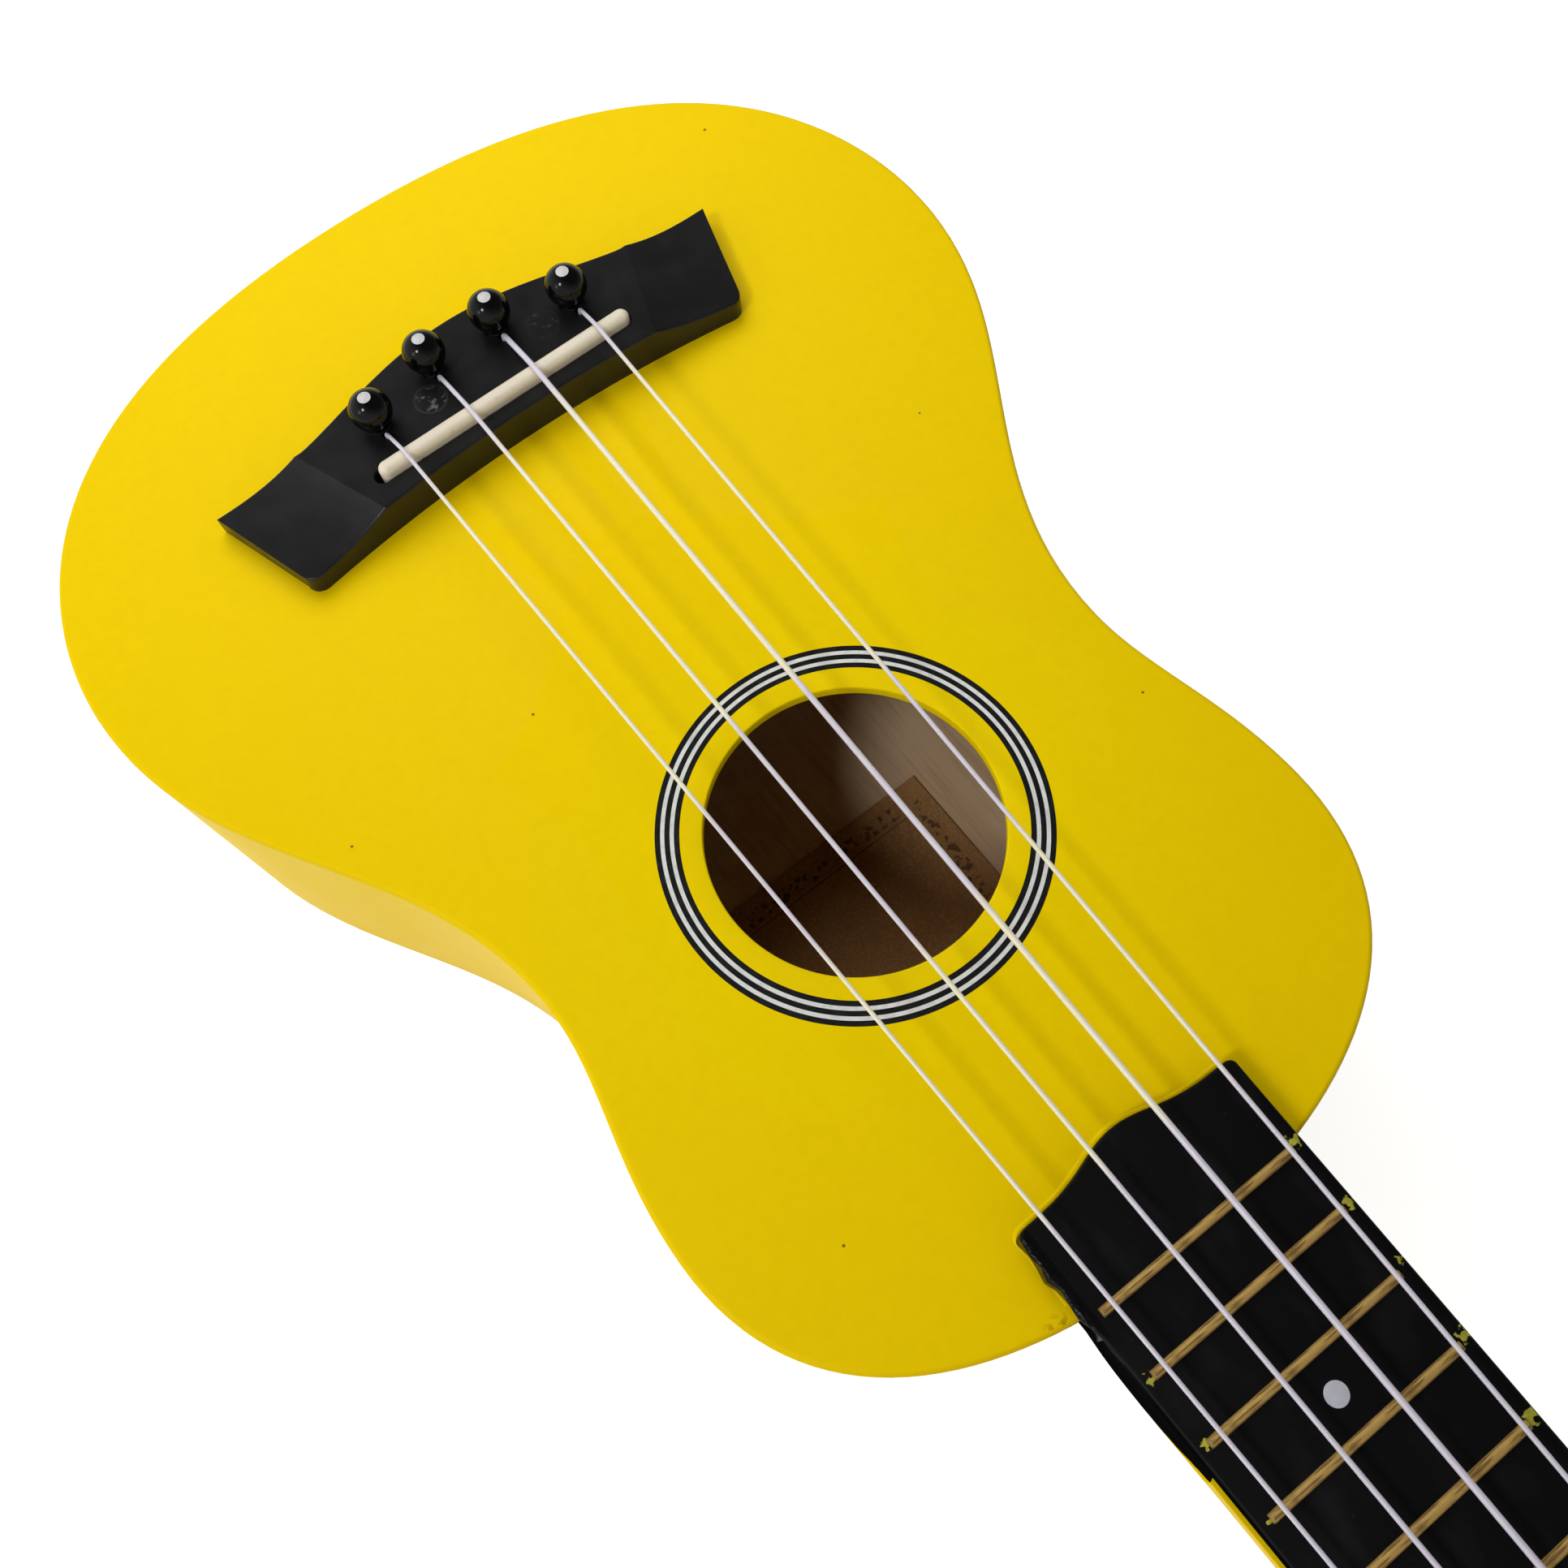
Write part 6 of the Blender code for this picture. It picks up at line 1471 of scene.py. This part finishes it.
def plate_screw_form():
    """A small slotted wood screw with a domed head."""
    head, shank = TUNER_SCREW_HEAD / 2, TUNER_SCREW_SHANK / 2
    low = PLATE_UNDER_W - TUNER_SCREW_HEAD_HEIGHT
    tip = PLATE_UNDER_W + TUNER_SCREW_LENGTH
    dome = [(head * s, low + TUNER_SCREW_HEAD_HEIGHT * (1 - c)) for c, s in arc(0, math.pi / 2, 8)]
    profile = dome + [(shank, PLATE_UNDER_W), (shank, tip - 0.0015), (0.0, tip)]
    slot = prism(rectangle(head * 0.26, head * 2.4), low - CUT_MARGIN,
                 low + TUNER_SCREW_HEAD_HEIGHT * 0.45)
    return worked(turned(profile, 32), *cut_all(slot))


def button_form():
    """A moulded button: a round neck that spreads into a flat rounded paddle."""
    wide, thick, neck = BUTTON_WIDTH / 2, BUTTON_THICKNESS / 2, BUTTON_NECK_DIAMETER / 2
    stations = ((0.0, neck, neck), (0.10, neck * 1.04, neck * 1.04),
                (0.26, wide * 0.66, thick * 0.9), (0.46, wide * 0.96, thick),
                (0.66, wide, thick), (0.84, wide * 0.86, thick * 0.92),
                (0.95, wide * 0.58, thick * 0.72), (0.985, wide * 0.40, thick * 0.52),
                (1.0, wide * 0.16, thick * 0.22))
    rings = []
    for share, half_v, half_w in smooth_run(stations, 6):
        x = BUTTON_START_X + BUTTON_LENGTH * share
        rings.append([(x, half_v * c, half_w * s) for c, s in arc(0, 2 * math.pi, 44)[:-1]])
    socket = on_its_side(cylinder(WORM_CORE_RADIUS, BUTTON_START_X - CUT_MARGIN,
                                  BUTTON_START_X + BUTTON_SOCKET_DEPTH, 32))
    return worked(loft(rings), *cut_all(socket))


def ferrule_form():
    """The bushing that guides the post in the face of the head."""
    sleeve, flange = FERRULE_SLEEVE_DIAMETER / 2, FERRULE_FLANGE_DIAMETER / 2
    bore, top = POST_DIAMETER / 2 + CLEARANCE / 2, FERRULE_FLANGE_THICKNESS
    profile = [(bore, -FERRULE_SLEEVE_LENGTH), (sleeve, -FERRULE_SLEEVE_LENGTH), (sleeve, 0.0),
               (flange, 0.0)]
    profile += [(flange - back * 1.6, height) for back, height in round_levels(top, 0.0007, 8, -1)]
    profile += [(bore + 0.0003, top), (bore, top - 0.0003)]
    return loft([[(x, y, height) for x, y in circle(radius, ROUND_SIDES)]
                 for radius, height in profile], loop=True)


def make_tuners():
    plate, worm, gear, post = plate_form(), worm_form(), gear_form(), post_form()
    button, screw = button_form(), plate_screw_form()
    for name, (side, x, v) in tuner_places().items():
        on_head = head_matrix(x, v)
        worm_at = head_matrix(x, v - GEAR_CENTRE_DISTANCE, WORM_W)
        if side < 0:
            worm_at = worm_at @ Matrix.Rotation(math.pi, 4, "Y")
        shaft, turning = f"tuner_shaft_{name}", f"string_post_{name}"
        fine(f"tuner_plate_{name}", plate, "nickel", "root", on_head, bevel=PLATE_EDGE_ROUND)
        fine(f"ferrule_{name}", ferrule_form(), "nickel", "root", on_head)
        for which, end in (("near", -1), ("far", 1)):
            piece(f"tuner_screw_{name}_{which}", screw, "nickel", "root",
                  on_head @ Matrix.Translation((0.0, end * TUNER_SCREW_SPACING / 2, 0.0)))
        fine(f"tuner_worm_{name}", worm, "nickel", shaft, worm_at)
        fine(f"tuner_button_{name}", button, "button_black", shaft, worm_at)
        fine(f"tuner_gear_{name}", gear, "brass", turning, head_matrix(x, v, WORM_W),
             bevel=GEAR_EDGE_ROUND)
        fine(f"tuner_post_{name}", post, "nickel", turning, on_head)


# Strings

def winding_radius(name):
    return POST_WAIST_DIAMETER / 2 + CLEARANCE + STRING_DIAMETERS[name] / 2


def winding_reach(name):
    """How far the shown string's centre lies from the post's axis, snugger than the solid's."""
    return winding_radius(name) - WINDING_SNUG


def wrap_angles(name):
    """Where a string meets its post, and where its first half turn ends."""
    side, x, v = tuner_places()[name]
    to_nut = Vector((nut_string_x(name) - x, -v))
    swing = math.acos(winding_radius(name) / to_nut.length)
    start = math.atan2(to_nut.y, to_nut.x) - side * swing
    return start, start - side * 2 * math.pi * WRAP_TURNS


def bend(points, length, steps=10):
    """A polyline with each inner corner eased into a short curve."""
    eased = [points[0]]
    for before, corner, after in zip(points, points[1:], points[2:]):
        into = corner - (corner - before).normalized() * length
        out = corner + (after - corner).normalized() * length
        for step in range(steps + 1):
            t = step / steps
            eased.append(into * (1 - t) ** 2 + corner * 2 * t * (1 - t) + out * t * t)
    eased.append(points[-1])
    return eased


def string_route(name):
    """Up through the bridge, over the saddle and the nut, and half round the post."""
    radius = STRING_DIAMETERS[name] / 2
    x_pin, hole_y = pin_places()[name][0], string_hole_y(name)
    over_saddle = SADDLE_TOP_Z + radius + CLEARANCE / 2 + BEND_LENGTH * 0.15
    corners = [
        Vector((x_pin, hole_y, BRIDGE_PLATE_UNDER_Z - STRING_TAIL)),
        Vector((x_pin, hole_y, BRIDGE_TOP_Z + BEND_LENGTH * 0.9)),
        Vector((string_across(name, SADDLE_STRING_SPACING), SADDLE_Y, over_saddle)),
        Vector((nut_string_x(name), HEAD_Y + BEND_LENGTH * 0.5, nut_string_z(name))),
    ]
    _, x, v = tuner_places()[name]
    start, end = wrap_angles(name)
    round_post = []
    steps = round(WRAP_TURNS * WINDING_POINTS_PER_TURN)
    for step in range(steps + 1):
        angle = start + (end - start) * step / steps
        reach = winding_reach(name)
        local = Vector((x + reach * math.cos(angle), v + reach * math.sin(angle), WRAP_HEIGHT))
        round_post.append(head_matrix() @ local)
    return bend(corners + [round_post[0]], BEND_LENGTH)[:-1] + round_post


def winding_route(name):
    """The turns above, in the post's own frame, whose end goes in through the string hole."""
    side = tuner_places()[name][0]
    start = wrap_angles(name)[1]
    low = WRAP_HEIGHT + STRING_DIAMETERS[name] + WINDING_STEP_OVER
    end = round((start - side * 2 * math.pi * WINDING_TURNS) / math.pi) * math.pi
    steps = round(abs(end - start) / (2 * math.pi) * WINDING_POINTS_PER_TURN)
    reach = winding_reach(name)
    points = []
    for step in range(steps):
        share = step / steps
        angle = start + (end - start) * share
        points.append(Vector((reach * math.cos(angle), reach * math.sin(angle),
                              low + (POST_HOLE_HEIGHT - low) * share)))
    inward = Vector((math.cos(end), math.sin(end), 0.0))
    corners = [points[-1], inward * reach, inward * -(reach + STRING_DIAMETERS[name])]
    for corner in corners[1:]:
        corner.z = POST_HOLE_HEIGHT
    return points[:-1] + bend(corners, BEND_LENGTH * 0.4)


def make_strings():
    for name in STRING_NAMES:
        radius = STRING_DIAMETERS[name] / 2
        _, x, v = tuner_places()[name]
        fine(f"string_{name}", tube(string_route(name), radius), "nylon", smooth=60)
        fine(f"winding_{name}", tube(winding_route(name), radius), "nylon",
             f"string_post_{name}", head_matrix(x, v), smooth=60)


# Stage, lights and camera

def kind_of_ray(tree, *kinds):
    """1 for rays of any of the named kinds of light path, otherwise 0."""
    rays = tree.nodes.new("ShaderNodeLightPath")
    total = rays.outputs[kinds[0]]
    for kind in kinds[1:]:
        total = add_node(tree, "ShaderNodeMath", {0: total, 1: rays.outputs[kind]},
                         operation="MAXIMUM")
    return total


def make_floor():
    """A pale floor that shows white, and keeps the shadow that falls on it."""
    mesh = bpy.data.meshes.new("floor")
    mesh.from_pydata([(x, y, FLOOR_Z) for x, y in rectangle(FLOOR_SIZE, FLOOR_SIZE)], [],
                     [(0, 1, 2, 3)])
    floor = bpy.data.objects.new("floor", mesh)
    bpy.context.scene.collection.objects.link(floor)
    material = bpy.data.materials.new("pale_floor")
    material.use_nodes = True
    tree = material.node_tree
    shader = tree.nodes["Principled BSDF"]
    shader.inputs["Base Color"].default_value = (FLOOR_COLOUR, FLOOR_COLOUR, FLOOR_COLOUR, 1.0)
    shader.inputs["Roughness"].default_value = 0.9
    shader.inputs["Specular IOR Level"].default_value = 0.0
    shader.inputs["Emission Color"].default_value = (1.0, 1.0, 1.0, 1.0)
    seen = kind_of_ray(tree, "Is Camera Ray", "Is Glossy Ray", "Is Transmission Ray")
    glow = add_node(tree, "ShaderNodeMath", {0: seen, 1: FLOOR_GLOW}, operation="MULTIPLY")
    tree.links.new(glow, shader.inputs["Emission Strength"])
    mesh.materials.append(material)


def turned_down(tree, way, span, levels):
    """A level that goes from the first to the second as a direction turns the given way."""
    where = add_node(tree, "ShaderNodeTexCoord", {}, "Generated")
    height = add_node(tree, "ShaderNodeVectorMath", {0: where, 1: way}, "Value",
                      operation="DOT_PRODUCT")
    return add_node(tree, "ShaderNodeMapRange",
                    {0: height, 1: span[0], 2: span[1], 3: levels[0], 4: levels[1]})


def make_world():
    """White where the camera sees it; otherwise a room that is darker overhead."""
    world = bpy.data.worlds.new("studio")
    bpy.context.scene.world = world
    world.use_nodes = True
    tree = world.node_tree
    background = tree.nodes["Background"]
    by_gloss = add_node(tree, "ShaderNodeMix", {
        0: kind_of_ray(tree, "Is Glossy Ray", "Is Transmission Ray"),
        2: turned_down(tree, UPWARD, ROOM_SPAN, (ROOM_LEVEL, 0.0)),
        3: turned_down(tree, GLOSS_DARK_WAY, GLOSS_SPAN, GLOSS_LEVELS)})
    level = add_node(tree, "ShaderNodeMix", {0: kind_of_ray(tree, "Is Camera Ray"), 2: by_gloss,
                                             3: 1.0})
    tree.links.new(level, background.inputs["Strength"])
    background.inputs["Color"].default_value = (1.0, 1.0, 1.0, 1.0)


def make_lamps():
    for name, place, aim, size, power in LAMPS:
        data = bpy.data.lights.new(name, "AREA")
        data.shape = "DISK"
        data.size = size
        data.energy = power
        lamp = bpy.data.objects.new(name, data)
        bpy.context.scene.collection.objects.link(lamp)
        lamp.location = place
        lamp.rotation_euler = (Vector(aim) - Vector(place)).to_track_quat("-Z", "Y").to_euler()
        lamp.visible_camera = False
        lamp.visible_glossy = "fill" not in name


def make_camera():
    data = bpy.data.cameras.new("photo_camera")
    data.sensor_fit = "HORIZONTAL"
    data.sensor_width = CAMERA_SENSOR
    data.lens = CAMERA_LENS
    data.clip_start = 0.01
    camera = bpy.data.objects.new("photo_camera", data)
    bpy.context.scene.collection.objects.link(camera)
    ahead = (Vector(CAMERA_AIM) - Vector(CAMERA_PLACE)).normalized()
    level_right = ahead.cross(Vector((0.0, 1.0, 0.0))).normalized()
    level_up = level_right.cross(ahead)
    right = level_right * math.cos(CAMERA_ROLL) + level_up * math.sin(CAMERA_ROLL)
    turn = Matrix((right, right.cross(ahead), -ahead)).transposed()
    camera.matrix_world = Matrix.Translation(CAMERA_PLACE) @ turn.to_4x4()
    bpy.context.scene.camera = camera


# The stage, the lamps, and the paint that lies on the board's edge
FLOOR_SIZE = 6.0
FLOOR_Z = -0.0001
FLOOR_COLOUR = 0.55
FLOOR_GLOW = 0.84
UPWARD = (0.0, 0.0, 1.0)
ROOM_LEVEL = 0.41
ROOM_SPAN = (0.55, 0.85)
GLOSS_DARK_WAY = (-0.6, 0.0, 1.0)
GLOSS_SPAN = (0.04, 0.90)
GLOSS_LEVELS = (0.9, 0.10)
LAMPS = (
    ("key", (0.985, 0.130, 1.300), (0.0, -0.096, 0.058), 0.34, 7.8),
    ("side", (0.950, -0.150, 0.600), (0.0, -0.140, 0.058), 0.30, 0.6),
    ("tail_fill", (-0.040, -0.380, 0.380), (0.0, -0.200, 0.058), 0.36, 1.04),
    ("wall_fill", (1.000, -0.100, 0.120), (0.050, -0.120, 0.030), 0.30, 2.1),
)
PAINT_LUMPS_Y = NECK_JOINT_Y - 0.007
PAINT_LUMPS_LENGTH = 0.012
PAINT_LUMP = 0.0011
PAINT_LUMP_REACH = 0.0012
PAINT_LUMPS_PER_METRE = 330
PAINT_GRAINS_PER_METRE = 900
RIDGE_STOP_Y = NECK_JOINT_Y - 0.001
RIDGE_WIDTH = 0.0011
RIDGE_HEIGHT = 0.00014
RIDGE_TUCK = 0.0002
RIDGE_SWELLS_PER_METRE = 260


make_soundboard()
make_back()
make_sides()
make_label()
dress_inner_wood()
make_fingerboard()
make_frets()
make_markers()
make_paint_ridge()
make_nut()
make_neck()
make_bridge()
make_saddle()
make_pins()
make_tuners()
make_strings()
make_floor()
make_world()
make_lamps()
make_camera()
bpy.context.scene.view_settings.view_transform = "Standard"
